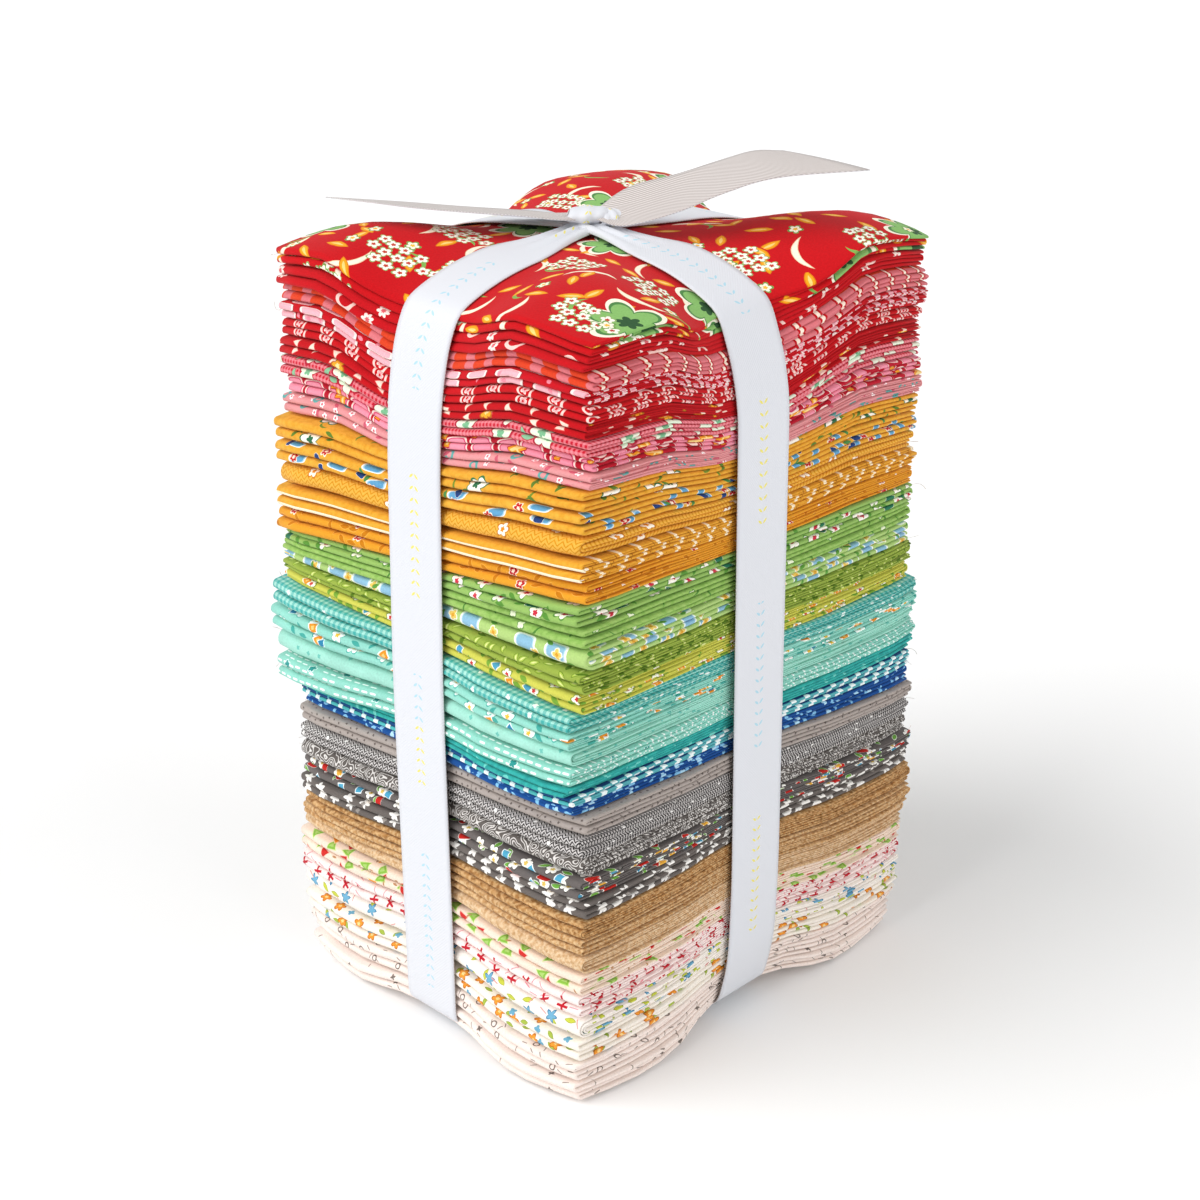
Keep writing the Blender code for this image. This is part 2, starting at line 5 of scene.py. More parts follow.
import bpy
import numpy as np
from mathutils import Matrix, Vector


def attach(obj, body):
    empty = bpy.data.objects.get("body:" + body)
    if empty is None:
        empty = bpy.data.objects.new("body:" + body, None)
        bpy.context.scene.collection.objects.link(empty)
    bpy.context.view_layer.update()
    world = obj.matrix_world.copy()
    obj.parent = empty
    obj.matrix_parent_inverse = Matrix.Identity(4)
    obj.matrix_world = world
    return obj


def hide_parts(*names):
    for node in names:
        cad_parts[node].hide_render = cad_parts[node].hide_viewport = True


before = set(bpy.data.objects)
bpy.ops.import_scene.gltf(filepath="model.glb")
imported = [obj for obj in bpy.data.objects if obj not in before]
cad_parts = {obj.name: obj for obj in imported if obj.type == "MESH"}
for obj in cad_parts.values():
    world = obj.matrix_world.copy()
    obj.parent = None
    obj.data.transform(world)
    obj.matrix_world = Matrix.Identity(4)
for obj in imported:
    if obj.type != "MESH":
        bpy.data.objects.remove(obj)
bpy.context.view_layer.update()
scene = bpy.context.scene
MM = 0.001

# Camera
# The bundle is seen from above the corner between its folded side and its layered side, with a
# short telephoto lens. The angle, distance and aim come from its visible corners in the photograph.
azimuth = math.radians(44.15)
elevation = math.radians(23.65)
back = Vector(
    (
        math.sin(azimuth) * math.cos(elevation),
        -math.cos(azimuth) * math.cos(elevation),
        math.sin(elevation),
    )
)
rightwards = Vector((math.cos(azimuth), math.sin(azimuth), 0.0))
upwards = back.cross(rightwards)
aim = Vector((0.0, 0.0, 106.0 * MM)) - rightwards * 0.57 * MM + upwards * 2.6 * MM
camera = bpy.data.objects.new("camera", bpy.data.cameras.new("camera"))
camera.data.lens = 66.0
camera.data.sensor_width = 36.0
camera.data.clip_start = 0.01
camera.location = aim + back * 614.0 * MM
camera.rotation_mode = "QUATERNION"
camera.rotation_quaternion = (-back).to_track_quat("-Z", "Y")
scene.collection.objects.link(camera)
scene.camera = camera

# Fat quarters
# Forty pieces of quilting cotton, each cut 457 by 533 mm, folded in four plies across and then in
# four passes along, and stacked by colour. They are held by the ribbon alone.
HALF_WIDTH = 57.5
HALF_DEPTH = 67.0
FLAT_WIDTH = 457.0
FLAT_LENGTH = 533.0
CLOTH = 0.2
PLIES = 4
PASSES = 4
CORNER_TOP = 209.5
CORNER_BOTTOM = 0.8
RIBBON_X = -1.0
RIBBON_Y = -4.5
RIBBON_HALF = 9.75

# Heights of the colours' upper faces at three corners in mm, bottom to top, and how far those
# corners stand out. The near corner's skew moves it towards +X and +Y.
GroupRow = namedtuple("GroupRow", "name cloths left near right out_left near_skew out_right")
GROUPS = (
    GroupRow("cream", 6, 41.7, 42.3, 35.4, 0.0, -1.0, 1.3),
    GroupRow("tan", 3, 53.8, 58.3, 54.7, -1.2, 0.0, 2.6),
    GroupRow("grey", 5, 80.8, 88.2, 80.9, -1.2, 0.2, 1.8),
    GroupRow("blue", 3, 89.5, 96.5, 95.4, -2.2, -2.4, 1.4),
    GroupRow("aqua", 4, 118.9, 115.4, 112.7, 2.6, -1.4, 1.3),
    GroupRow("green", 5, 133.6, 144.9, 141.2, 0.0, 0.0, -0.3),
    GroupRow("gold", 5, 165.6, 174.0, 166.6, 0.2, 0.4, -0.7),
    GroupRow("pink", 3, 181.8, 186.0, 181.9, -1.8, 1.4, -0.5),
    GroupRow("red", 6, 209.5, 209.5, 209.5, -1.9, 1.4, -0.4),
)

# How the ribbon shapes the top and the bottom, in mm from the corners' height: under the crossing,
# at the four places where it goes over the edge, and on the four pillows between its arms. Lean is
# how far the arm towards +X strays towards +Y.
SwellRow = namedtuple("SwellRow", "centre west east south north lean crest bulge_x bulge_y")
TOP_SWELL = SwellRow(
    centre=4.0,
    west=-8.0,
    east=-11.0,
    south=-9.5,
    north=-8.0,
    lean=2.2,
    crest=(-0.6, -0.4, -1.6, -1.0),
    bulge_x=(2.4, 0.6, 4.6, 2.4),
    bulge_y=(2.8, 1.4, 3.0, 2.6),
)
BOTTOM_SWELL = SwellRow(
    centre=1.5,
    west=3.5,
    east=4.6,
    south=2.8,
    north=3.0,
    lean=5.0,
    crest=(-0.5, -0.2, 0.2, -0.1),
    bulge_x=(-0.5, -0.5, -0.5, -0.5),
    bulge_y=(-0.5, -0.5, -0.5, -0.5),
)
TOP_REACH = 20.0
BOTTOM_REACH = 14.0

# Top to bottom. Across is how the plies are folded and along how the passes are.
ClothRow = namedtuple("ClothRow", "name along across")
CLOTHS = (
    ClothRow("red_garden", "double", "half"),
    ClothRow("red_fans", "double", "half"),
    ClothRow("red_checks", "double", "half"),
    ClothRow("red_bricks", "double", "zigzag"),
    ClothRow("red_rings", "double", "half"),
    ClothRow("red_triangles", "double", "zigzag"),
    ClothRow("pink_basket", "double", "half"),
    ClothRow("pink_patches", "double", "half"),
    ClothRow("pink_sprigs", "double", "zigzag"),
    ClothRow("gold_sprigs", "double", "half"),
    ClothRow("gold_blocks", "double", "half"),
    ClothRow("gold_zigzag", "book", "half"),
    ClothRow("gold_stripe", "double", "zigzag"),
    ClothRow("gold_leaves", "double", "zigzag"),
    ClothRow("green_blossom", "double", "half"),
    ClothRow("green_stems", "double", "half"),
    ClothRow("green_patches", "book", "half"),
    ClothRow("green_leaves", "double", "zigzag"),
    ClothRow("citron_dots", "double", "zigzag"),
    ClothRow("aqua_gingham", "double", "zigzag"),
    ClothRow("aqua_blossom", "double", "zigzag"),
    ClothRow("aqua_plain", "book", "zigzag"),
    ClothRow("aqua_dashes", "double", "zigzag"),
    ClothRow("teal_plain", "double", "half"),
    ClothRow("navy_plaid", "double", "half"),
    ClothRow("royal_leaves", "book", "half"),
    ClothRow("grey_pin_dots", "double", "half"),
    ClothRow("grey_zigzag", "double", "zigzag"),
    ClothRow("grey_scroll", "book", "zigzag"),
    ClothRow("charcoal_blossom", "double", "zigzag"),
    ClothRow("charcoal_stars", "double", "half"),
    ClothRow("tan_dark", "double", "zigzag"),
    ClothRow("tan_mottled", "double", "zigzag"),
    ClothRow("tan_light", "book", "zigzag"),
    ClothRow("cream_triangles", "double", "zigzag"),
    ClothRow("cream_crosses", "double", "zigzag"),
    ClothRow("white_stars", "book", "zigzag"),
    ClothRow("white_posies", "double", "half"),
    ClothRow("cream_marks", "double", "half"),
    ClothRow("cream_under", "double", "half"),
)
COUNT = len(CLOTHS)
LEVELS = {"double": (0, 1, 2, 3), "book": (0, 3, 2, 1), "zigzag": (0, 1, 2, 3), "half": (0, 3, 2, 1)}
PIECE_GAP = 0.06
NOSE = 0.9


def mix(low, high, share):
    return low + (high - low) * share


def smooth(share):
    share = np.clip(share, 0.0, 1.0)
    return share * share * (3.0 - 2.0 * share)


def swell(x, y, row):
    """Height in mm that the ribbon's pull gives a face of the stack, from its corners' height."""
    x, y = np.broadcast_arrays(x, y)
    middle_y = RIBBON_Y + row.lean * np.clip(x / HALF_WIDTH, 0.0, 1.0)
    west = x < RIBBON_X
    south = y < middle_y
    reach_x = np.where(west, HALF_WIDTH + RIBBON_X, HALF_WIDTH - RIBBON_X) - RIBBON_HALF
    reach_y = np.where(south, HALF_DEPTH + middle_y, HALF_DEPTH - middle_y) - RIBBON_HALF
    u = np.clip((np.abs(x - RIBBON_X) - RIBBON_HALF) / reach_x, 0.0, 1.0)
    v = np.clip((np.abs(y - middle_y) - RIBBON_HALF) / reach_y, 0.0, 1.0)
    quadrant = [west & south, ~west & south, ~west & ~south, west & ~south]
    crest = np.select(quadrant, row.crest)
    bulge_x = np.select(quadrant, row.bulge_x)
    bulge_y = np.select(quadrant, row.bulge_y)
    end_x = np.where(west, row.west, row.east)
    end_y = np.where(south, row.south, row.north)
    arm_x = mix(row.centre, end_x, u**2.6)
    arm_y = mix(row.centre, end_y, v**2.6)
    edge_x = end_x * (1.0 - smooth(v / 0.55)) + bulge_x * np.sin(math.pi * v) ** 0.8
    edge_y = end_y * (1.0 - smooth(u / 0.55)) + bulge_y * np.sin(math.pi * u) ** 0.8
    ruled = (1 - v) * arm_x + v * edge_y + (1 - u) * arm_y + u * edge_x
    corners = (1 - u) * (1 - v) * row.centre + u * (1 - v) * end_x + (1 - u) * v * end_y
    return ruled - corners + crest * np.sin(math.pi * u) * np.sin(math.pi * v)


def height(level, x, y):
    """Height in mm of a level in the stack, counted in cloths from the bottom, at (x, y) in mm."""
    tops = np.cumsum([0] + [row.cloths for row in GROUPS])
    left = np.interp(level, tops, [CORNER_BOTTOM] + [row.left for row in GROUPS])
    near = np.interp(level, tops, [CORNER_BOTTOM] + [row.near for row in GROUPS])
    right = np.interp(level, tops, [CORNER_BOTTOM] + [row.right for row in GROUPS])
    across = np.clip(x / HALF_WIDTH, -1.0, 1.0) / 2 + 0.5
    along = np.clip(y / HALF_DEPTH, -1.0, 1.0) / 2 + 0.5
    level_ground = mix(mix(left, near, across), mix((left + right) / 2, right, across), along)
    from_top = np.clip(1 - (COUNT - level) / TOP_REACH, 0.0, 1.0) ** 2
    from_bottom = np.clip(1 - level / BOTTOM_REACH, 0.0, 1.0) ** 2
    sway = 0.3 * np.sin(x / 17.0 + level * 0.21) * np.sin(y / 21.0 - level * 0.17 + 1.0)
    sway *= np.clip(level / 3.0, 0.0, 1.0)
    return (
        level_ground
        + swell(x, y, TOP_SWELL) * from_top
        + swell(x, y, BOTTOM_SWELL) * from_bottom
        + sway
    )


def drawn_in(side, level):
    """How far in mm the ribbon draws in a side beside it, at a level of the stack."""
    over_top = 7.0 * np.clip(1 - (COUNT - level) / 7.0, 0.0, 1.0) ** 2
    under = (0.4 if side == "south" else 4.0) * np.clip(1 - level / 4.0, 0.0, 1.0) ** 2
    return 1.2 + over_top + under


def beside_ribbon(distance):
    return 1.0 - smooth((np.abs(distance) - 8.0) / 24.0)


def leaning(level):
    """Where in mm along +Y the ribbon's middle comes down the +X side, at a level of the stack."""
    return RIBBON_Y + mix(BOTTOM_SWELL.lean, TOP_SWELL.lean, level / COUNT)


# How far in mm corners are rounded off in plan, how far the lowest cloths' corners tuck in, and how
# far a cloth's own sides stray. Spans are the shares of half a side over which the first two grow.
CORNER_ROUND = 1.0
CORNER_SPAN = 0.1
BOTTOM_TUCK = 3.0
TUCK_SPAN = 0.4
TUCK_CLOTHS = 3.5
LOOSE = 0.8


def near_corner(place, span):
    """From 0 to 1 towards the corners of a side, at a place from -1 to 1 along it."""
    return smooth((np.abs(place) - (1 - span)) / span)


class Outline:
    """Plan outline of one cloth in mm. Where the ribbon holds it, it lies flush with the others."""

    def __init__(self, row, dice):
        far = [dice.uniform(-1.0, 1.0) for _ in range(2)]
        self.group = {
            "south": (row.out_left, -row.near_skew),
            "east": (row.near_skew, row.out_right),
            "north": (far[1], row.out_right),
            "west": (row.out_left, far[0]),
        }
        self.loose = {
            side: (dice.uniform(-LOOSE, LOOSE), dice.uniform(-LOOSE, LOOSE)) for side in self.group
        }

    def out(self, side, place, distance, level):
        """How far in mm a side stands out, at a place from -1 to 1 along it."""
        share = smooth(place / 2 + 0.5)
        pinch = beside_ribbon(distance)
        group = mix(*self.group[side], share) * (1 - 0.5 * pinch)
        rounded = CORNER_ROUND * near_corner(place, CORNER_SPAN)
        loose = mix(*self.loose[side], share) * (1 - 0.85 * pinch)
        lowest = np.clip(1 - level / TUCK_CLOTHS, 0.0, 1.0) ** 2
        tucked = BOTTOM_TUCK * lowest * near_corner(place, TUCK_SPAN)
        return group + loose - drawn_in(side, level) * pinch - tucked - rounded

    def south(self, x, level):
        return -HALF_DEPTH - self.out("south", x / HALF_WIDTH, x - RIBBON_X, level)

    def north(self, x, level):
        return HALF_DEPTH + self.out("north", x / HALF_WIDTH, x - RIBBON_X, level)

    def west(self, y, level):
        return -HALF_WIDTH - self.out("west", y / HALF_DEPTH, y - RIBBON_Y, level)

    def east(self, y, level):
        return HALF_WIDTH + self.out("east", y / HALF_DEPTH, y - leaning(level), level)


# One sample along a folded strip: the layers it lies between, the turn's angle, how far along it
# is from the low end to the high one, which end it turns at and its pass. Middle is the layer
# halfway through the fold at its nearer end, and near how near that is.
Step = namedtuple("Step", "start end angle place side order middle near")
FOLD_REACH = 0.1
FOLD_SQUEEZE = 0.16


def folded_steps(levels, straight, turning):
    """Samples along a strip that is folded back and forth, starting towards the high end."""
    steps = []
    for order, level in enumerate(levels):
        rising = order % 2 == 0
        for index in range(straight + 1):
            share = index / straight
            place = share if rising else 1 - share
            joined = order + 1 if share > 0.5 else order - 1
            if not 0 <= joined < len(levels):
                joined = order
            middle = (level + levels[joined]) / 2
            near = smooth(1 - min(share, 1 - share) / FOLD_REACH)
            steps.append(Step(level, level, 0.0, place, 0, order, middle, near))
        if order + 1 < len(levels):
            after = levels[order + 1]
            for index in range(1, turning):
                angle = math.pi * index / turning
                side = 1 if rising else -1
                middle = (level + after) / 2
                steps.append(Step(level, after, angle, float(rising), side, order, middle, 1.0))
    return steps


def run_along(places, steps, length):
    """How far in mm the cloth has run at each place of a folded strip, with its folds evenly apart."""
    gone = np.concatenate([[0.0], np.cumsum(np.linalg.norm(np.diff(places, axis=0), axis=1))])
    folds = [
        np.mean([gone[i] for i, s in enumerate(steps) if s.side and s.order == order])
        for order in range(steps[-1].order)
    ]
    known = [0.0] + folds + [gone[-1]]
    return np.interp(gone, known, np.linspace(0.0, length, len(known)))


def cloth_grid(number, row, outline, dice, straight):
    """Places in mm and flat coordinates in m of one folded cloth, as a grid of samples."""
    across = folded_steps(LEVELS[row.across], straight[0], 4)
    along = folded_steps(LEVELS[row.along], straight[1], 7)
    turn_south = [dice.uniform(-0.8, 0.5) for _ in range(PASSES)]
    turn_east = [[dice.uniform(-0.7, 0.5) for _ in range(PLIES)] for _ in range(PASSES)]
    phases = [[dice.uniform(0, 6.28) for _ in range(PLIES)] for _ in range(PASSES)]
    ply = np.array([(s.start + s.end) / 2 - (s.end - s.start) / 2 * math.cos(s.angle) for s in across])
    ply = np.array([mix(p, s.middle, s.near * FOLD_SQUEEZE) for p, s in zip(ply, across)])
    nose_x = np.array([abs(s.end - s.start) / 2 * math.sin(s.angle) * s.side for s in across])
    place_x = np.array([s.place for s in across])
    # Plies folded in half twice lie one fold inside the other, so both stand out alike.
    order_x = np.array([0 if row.across == "half" else s.order // 2 for s in across])

    def stray(order, y):
        fold = np.array([turn_east[order][o] for o in order_x])
        phase = np.array([phases[order][o] for o in order_x])
        return fold + 0.25 * np.sin(y / 11.0 + phase)

    points = np.zeros((len(along), len(across), 3))
    flat = np.zeros((len(along), len(across), 2))
    for index, step in enumerate(along):
        turned = step.order % 2 == 1
        part = (PASSES * step.start + (3 - ply if turned else ply) + 0.5) / (PLIES * PASSES)
        nose_y = 0.0 * part
        middle = (step.middle + 0.5) / PASSES
        part = mix(part, middle, step.near * FOLD_SQUEEZE)
        if step.side:
            nose_y = np.abs(middle - part) * math.sin(step.angle)
            part = middle - (middle - part) * math.cos(step.angle)
        level = number + PIECE_GAP / 2 + (1 - PIECE_GAP) * part
        nominal_x = mix(-HALF_WIDTH, HALF_WIDTH, place_x)
        nominal_y = mix(HALF_DEPTH, -HALF_DEPTH, step.place)
        thick = height(number + 1, nominal_x, nominal_y) - height(number, nominal_x, nominal_y)
        # Passes start at the far side, so a turn on the rising side is the one on -Y.
        inset = (7.5 if row.along == "book" else 3.5) / (PLIES * PASSES) * thick * NOSE
        free = 1 - 0.85 * beside_ribbon(nominal_x - RIBBON_X)
        low = outline.south(nominal_x, level) + turn_south[step.order // 2] * free
        high = outline.north(nominal_x, level) + 0.3 * np.sin(nominal_x / 9.0 + step.order)
        y = mix(high - inset, low + inset, step.place) - step.side * nose_y * thick * NOSE
        order = min(step.order, PASSES - 1)
        fold = stray(order, y)
        if step.side and order + 1 < PASSES:
            fold = mix(fold, stray(order + 1, y), (1 - math.cos(step.angle)) / 2)
        fold *= 1 - 0.85 * beside_ribbon(y - RIBBON_Y)
        reach = (1.5 if row.across == "half" else 0.5) * thick / (PLIES * PASSES)
        west = outline.west(y, level) + reach - fold * 0.8
        east = outline.east(y, level) - reach + fold
        x = mix(west, east, place_x) + nose_x * thick / (PLIES * PASSES)
        points[index, :, 0] = x
        points[index, :, 1] = y
        points[index, :, 2] = height(level, x, y)
        flat[index, :, 0] = run_along(points[index], across, FLAT_WIDTH)
    for column in range(len(across)):
        flat[:, column, 1] = run_along(points[:, column], along, FLAT_LENGTH)
    return points * MM, flat * MM


def sheet_object(name, points, flat, thickness):
    """A thin sheet through a grid of places, printed on the side that the grid turns outwards.

    The sheet joins up with its first row if flat has one row more than there are places.
    """
    rows, columns = flat.shape[:2]
    joined = rows > len(points)
    count = points.shape[0] * points.shape[1]
    along_row = np.gradient(points, axis=1)
    along_column = np.gradient(points, axis=0)
    if joined:
        along_column = np.roll(points, -1, axis=0) - np.roll(points, 1, axis=0)
    normal = np.cross(along_column, along_row)
    normal /= np.maximum(np.linalg.norm(normal, axis=2, keepdims=True), 1e-12)
    printed = (points + normal * thickness / 2).reshape(-1, 3)
    wrong = (points - normal * thickness / 2).reshape(-1, 3)
    spots = np.arange(rows * columns).reshape(rows, columns)
    a, b = spots[:-1, :-1].ravel(), spots[:-1, 1:].ravel()
    c, d = spots[1:, 1:].ravel(), spots[1:, :-1].ravel()
    rims = [(spots[:-1, -1], spots[1:, -1]), (spots[1:, 0], spots[:-1, 0])]
    if not joined:
        rims += [(spots[0, :-1], spots[0, 1:]), (spots[-1, 1:], spots[-1, :-1])]
    first = np.concatenate([rim[0] for rim in rims])
    second = np.concatenate([rim[1] for rim in rims])
    corners = np.concatenate(
        [np.stack([a, d, c, b], 1), np.stack([a, b, c, d], 1), np.stack([first, second, second, first], 1)]
    )
    faces = corners % count
    faces[len(a) : 2 * len(a)] += count
    faces[2 * len(a) :, 2:] += count
    mesh = bpy.data.meshes.new(name)
    places = np.concatenate([printed, wrong])
    mesh.vertices.add(len(places))
    mesh.vertices.foreach_set("co", places.ravel())
    mesh.loops.add(faces.size)
    mesh.loops.foreach_set("vertex_index", faces.ravel())
    mesh.polygons.add(len(faces))
    mesh.polygons.foreach_set("loop_start", np.arange(0, faces.size, 4))
    mesh.polygons.foreach_set("loop_total", np.full(len(faces), 4))
    mesh.update(calc_edges=True)
    uv = mesh.uv_layers.new(name="flat")
    uv.data.foreach_set("uv", flat.reshape(-1, 2)[corners.ravel()].ravel())
    side = mesh.attributes.new("wrong_side", "FLOAT", "POINT")
    side.data.foreach_set("value", np.repeat([0.0, 1.0], count))
    mesh.shade_smooth()
    sheet = bpy.data.objects.new(name, mesh)
    scene.collection.objects.link(sheet)
    return sheet


group_of = {}
for group_row in GROUPS:
    for _ in range(group_row.cloths):
        group_of[len(group_of)] = group_row
dice = random.Random(5)
grids = []
cloth_pieces = {}
for number in range(COUNT):
    row = CLOTHS[COUNT - 1 - number]
    outline = Outline(group_of[number], dice)
    straight = (24, 26) if number == COUNT - 1 else (14, 14)
    points, flat = cloth_grid(number, row, outline, dice, straight)
    grids.append(points / MM)
    piece = sheet_object("cloth_" + row.name, points[:, ::-1], flat[:, ::-1], CLOTH * MM)
    cloth_pieces[row.name] = piece
    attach(piece, "root")
    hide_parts(row.name)

# Ribbon
# One length of white twill ribbon, 19.5 mm wide, goes round the stack both ways. It is drawn tight
# and tied on top in a knot, and its two slanted tails stand free.
RIBBON = 0.3
RIBBON_LIFT = 0.55
KNOT_FOOT = 215.4


def hull(points):
    """Convex outline of places in a plane, anticlockwise: a tight ribbon touches only these."""
    points = sorted(map(tuple, points))
    halves = []
    for source in (points, points[::-1]):
        chain = []
        for p in source:
            while len(chain) > 1:
                (ax, ay), (bx, by) = chain[-2], chain[-1]
                if (bx - ax) * (p[1] - ay) - (by - ay) * (p[0] - ax) > 0:
                    break
                chain.pop()
            chain.append(p)
        halves.append(chain[:-1])
    return np.array(halves[0] + halves[1])


def resample(loop, count):
    """Places at even steps along a closed outline, rounded a little at its corners."""
    closed = np.concatenate([loop, loop[:1]])
    run = np.concatenate([[0.0], np.cumsum(np.linalg.norm(np.diff(closed, axis=0), axis=1))])
    wanted = np.linspace(0.0, run[-1], count, endpoint=False)
    even = np.stack([np.interp(wanted, run, closed[:, k]) for k in (0, 1)], axis=1)
    for _ in range(4):
        even = even / 2 + (np.roll(even, 1, axis=0) + np.roll(even, -1, axis=0)) / 4
    return even


def band_middle(axis, along, rise):
    """Where a band's middle runs across its own axis, at places along it and their heights."""
    if axis == "y":
        return RIBBON_X + 0.0 * along
    lean = mix(BOTTOM_SWELL.lean, TOP_SWELL.lean, rise / CORNER_TOP)
    return RIBBON_Y + lean * np.clip(along / HALF_WIDTH, 0.0, 1.0)


def under_band(axis):
    """Places in mm that the cloths reach under one band: along the band's axis, and height."""
    found = []
    for grid in grids:
        for share in (0.0, 0.25, 0.5, 0.75):
            if axis == "x":
                places = mix(grid[:-1], grid[1:], share)
                along, across, rise = places[..., 0], places[..., 1], places[..., 2]
            else:
                places = mix(grid[:, :-1], grid[:, 1:], share)
                across, along, rise = places[..., 0], places[..., 1], places[..., 2]
            held = np.abs(across - band_middle(axis, along, rise)) < RIBBON_HALF + 0.3
            found.append(np.stack([along[held], rise[held]], axis=1))
    return np.concatenate(found)


def band_object(name, axis, lift, knot_width):
    """One closed band, narrowed where the knot gathers it and drawn up to it."""
    middle = RIBBON_X if axis == "x" else RIBBON_Y
    loop = resample(hull(np.concatenate([under_band(axis), [(middle, KNOT_FOOT)]])), 420)
    tangent = np.roll(loop, -1, axis=0) - np.roll(loop, 1, axis=0)
    tangent /= np.linalg.norm(tangent, axis=1, keepdims=True)
    outward = np.stack([tangent[:, 1], -tangent[:, 0]], axis=1)
    loop = loop + outward * lift
    centre = band_middle(axis, loop[:, 0], loop[:, 1])
    steps = np.concatenate([[0.0], np.cumsum(np.linalg.norm(np.diff(loop, axis=0), axis=1))])
    columns = np.linspace(-1.0, 1.0, 13)
    on_top = loop[:, 1] > 150.0
    near_knot = np.where(on_top, 1.0 - smooth((np.abs(loop[:, 0] - middle) - 5.0) / 24.0), 0.0)
    half = mix(RIBBON_HALF, knot_width / 2, near_knot)
    points = np.zeros((len(loop), len(columns), 3))
    for i in range(len(loop)):
        ripple = near_knot[i] * (0.7 * np.cos(columns * 9.0) - 0.4 * columns**2)
        away = columns * half[i]
        place = loop[i, 0] + outward[i, 0] * ripple
        rise = loop[i, 1] + outward[i, 1] * ripple
        if axis == "x":
            points[i] = np.stack([place, centre[i] - away, rise], axis=1)
        else:
            points[i] = np.stack([centre[i] + away, place, rise], axis=1)
    around = np.append(steps, steps[-1] + np.linalg.norm(loop[0] - loop[-1]))
    flat = np.stack(np.broadcast_arrays(columns[None, :] * RIBBON_HALF, around[:, None]), axis=2)
    band = sheet_object(name, points * MM, flat * MM, RIBBON * MM)
    return band, around[-1] * MM


band_y, length_y = band_object("ribbon_band_y", "y", RIBBON_LIFT, 9.0)
band_x, length_x = band_object("ribbon_band_x", "x", RIBBON_LIFT + 0.5, 8.0)

# Tails, as sections in mm and degrees. Runs are the level distances of the two edges from the knot
# towards the right, far_by is how far the middle lies behind it, tilt is the rise of the far edge
# and hollow how far the middle sinks below the edges.
VIEW_TURN = math.radians(44.0)
KNOT = np.array((RIBBON_X, RIBBON_Y, 217.9))
TailRow = namedtuple("TailRow", "near_run far_run height far_by tilt width hollow")
LEFT_TAIL = (
    TailRow(-1.0, -1.0, 218.0, 0.0, 0.0, 6.0, 0.0),
    TailRow(-9.0, -9.0, 217.9, 0.5, -6.0, 12.0, 0.4),
    TailRow(-18.0, -18.0, 218.4, 1.5, -9.0, 17.5, 0.6),
    TailRow(-32.0, -33.0, 219.1, 2.5, -9.5, 19.0, 0.4),
    TailRow(-44.0, -49.0, 220.0, 3.5, -9.0, 19.0, 0.2),
    TailRow(-54.0, -69.0, 221.0, 4.5, -9.0, 19.0, 0.0),
)
RIGHT_TAIL = (
    TailRow(1.0, 1.0, 218.4, 0.0, 0.0, 6.0, 0.0),
    TailRow(7.0, 7.0, 219.6, 0.0, 22.0, 13.0, 0.8),
    TailRow(14.0, 13.5, 221.4, 0.0, 20.0, 18.0, 0.9),
    TailRow(24.0, 23.5, 224.2, 0.0, 16.0, 19.0, 0.5),
    TailRow(35.0, 34.0, 228.2, 0.0, 12.0, 19.0, -0.3),
    TailRow(48.0, 43.0, 231.4, 0.0, 8.0, 19.0, -0.6),
    TailRow(71.0, 50.5, 232.6, -1.0, 3.0, 18.0, -0.3),
)


def through(values, count):
    """Values at even steps along a smooth curve through a few given ones."""
    values = np.array(values, float)
    padded = np.concatenate([[2 * values[0] - values[1]], values, [2 * values[-1] - values[-2]]])
    found = []
    for place in np.linspace(0, len(values) - 1, count):
        k = min(int(place), len(values) - 2)
        t = place - k
        p0, p1, p2, p3 = padded[k : k + 4]
        found.append(
            p1
            + t * (p2 - p0) / 2
            + t**2 * (p0 - 2.5 * p1 + 2 * p2 - p3 / 2)
            + t**3 * (1.5 * (p1 - p2) + (p3 - p0) / 2)
        )
    return np.array(found)


def turned_axes(turn):
    """Level directions to the right and away, at a turn about the vertical, and up."""
    right = np.array((math.cos(turn), math.sin(turn), 0.0))
    away = np.array((-math.sin(turn), math.cos(turn), 0.0))
    return right, away, np.array((0.0, 0.0, 1.0))


def tail_object(name, rows):
    sections = {field: through([getattr(row, field) for row in rows], 40) for field in rows[0]._fields}
    right, away, rise = turned_axes(VIEW_TURN)
    columns = np.linspace(-1.0, 1.0, 13)
    points = np.zeros((40, len(columns), 3))
    for i in range(40):
        tilt = math.radians(sections["tilt"][i])
        half = (away * math.cos(tilt) + rise * math.sin(tilt)) * sections["width"][i] / 2
        middle = KNOT * (1, 1, 0) + away * sections["far_by"][i] + rise * sections["height"][i]
        near_run, far_run = sections["near_run"][i], sections["far_run"][i]
        for j, column in enumerate(columns):
            run = mix(near_run, far_run, (column + 1) / 2)
            gather = 0.5 * math.cos(column * 9.0) * max(0.0, 1 - i / 12)
            sunk = sections["hollow"][i] * (1 - column**2) - gather
            points[i, j] = middle + right * run + half * column - rise * sunk
    steps = np.linalg.norm(np.diff(points[:, 6], axis=0), axis=1)
    along = np.concatenate([[0.0], np.cumsum(steps)])
    flat = np.stack(np.broadcast_arrays(columns[None, :] * RIBBON_HALF, along[:, None]), axis=2)
    # The right tail is turned wrong side up, so it shows the ribbon's painted grey shade.
    if rows is RIGHT_TAIL:
        points, flat = points[:, ::-1], flat[:, ::-1]
    return sheet_object(name, points * MM, flat * MM, RIBBON * MM), along[-1] * MM


left_tail, length_left = tail_object("ribbon_tail_left", LEFT_TAIL)
right_tail, length_right = tail_object("ribbon_tail_right", RIGHT_TAIL)


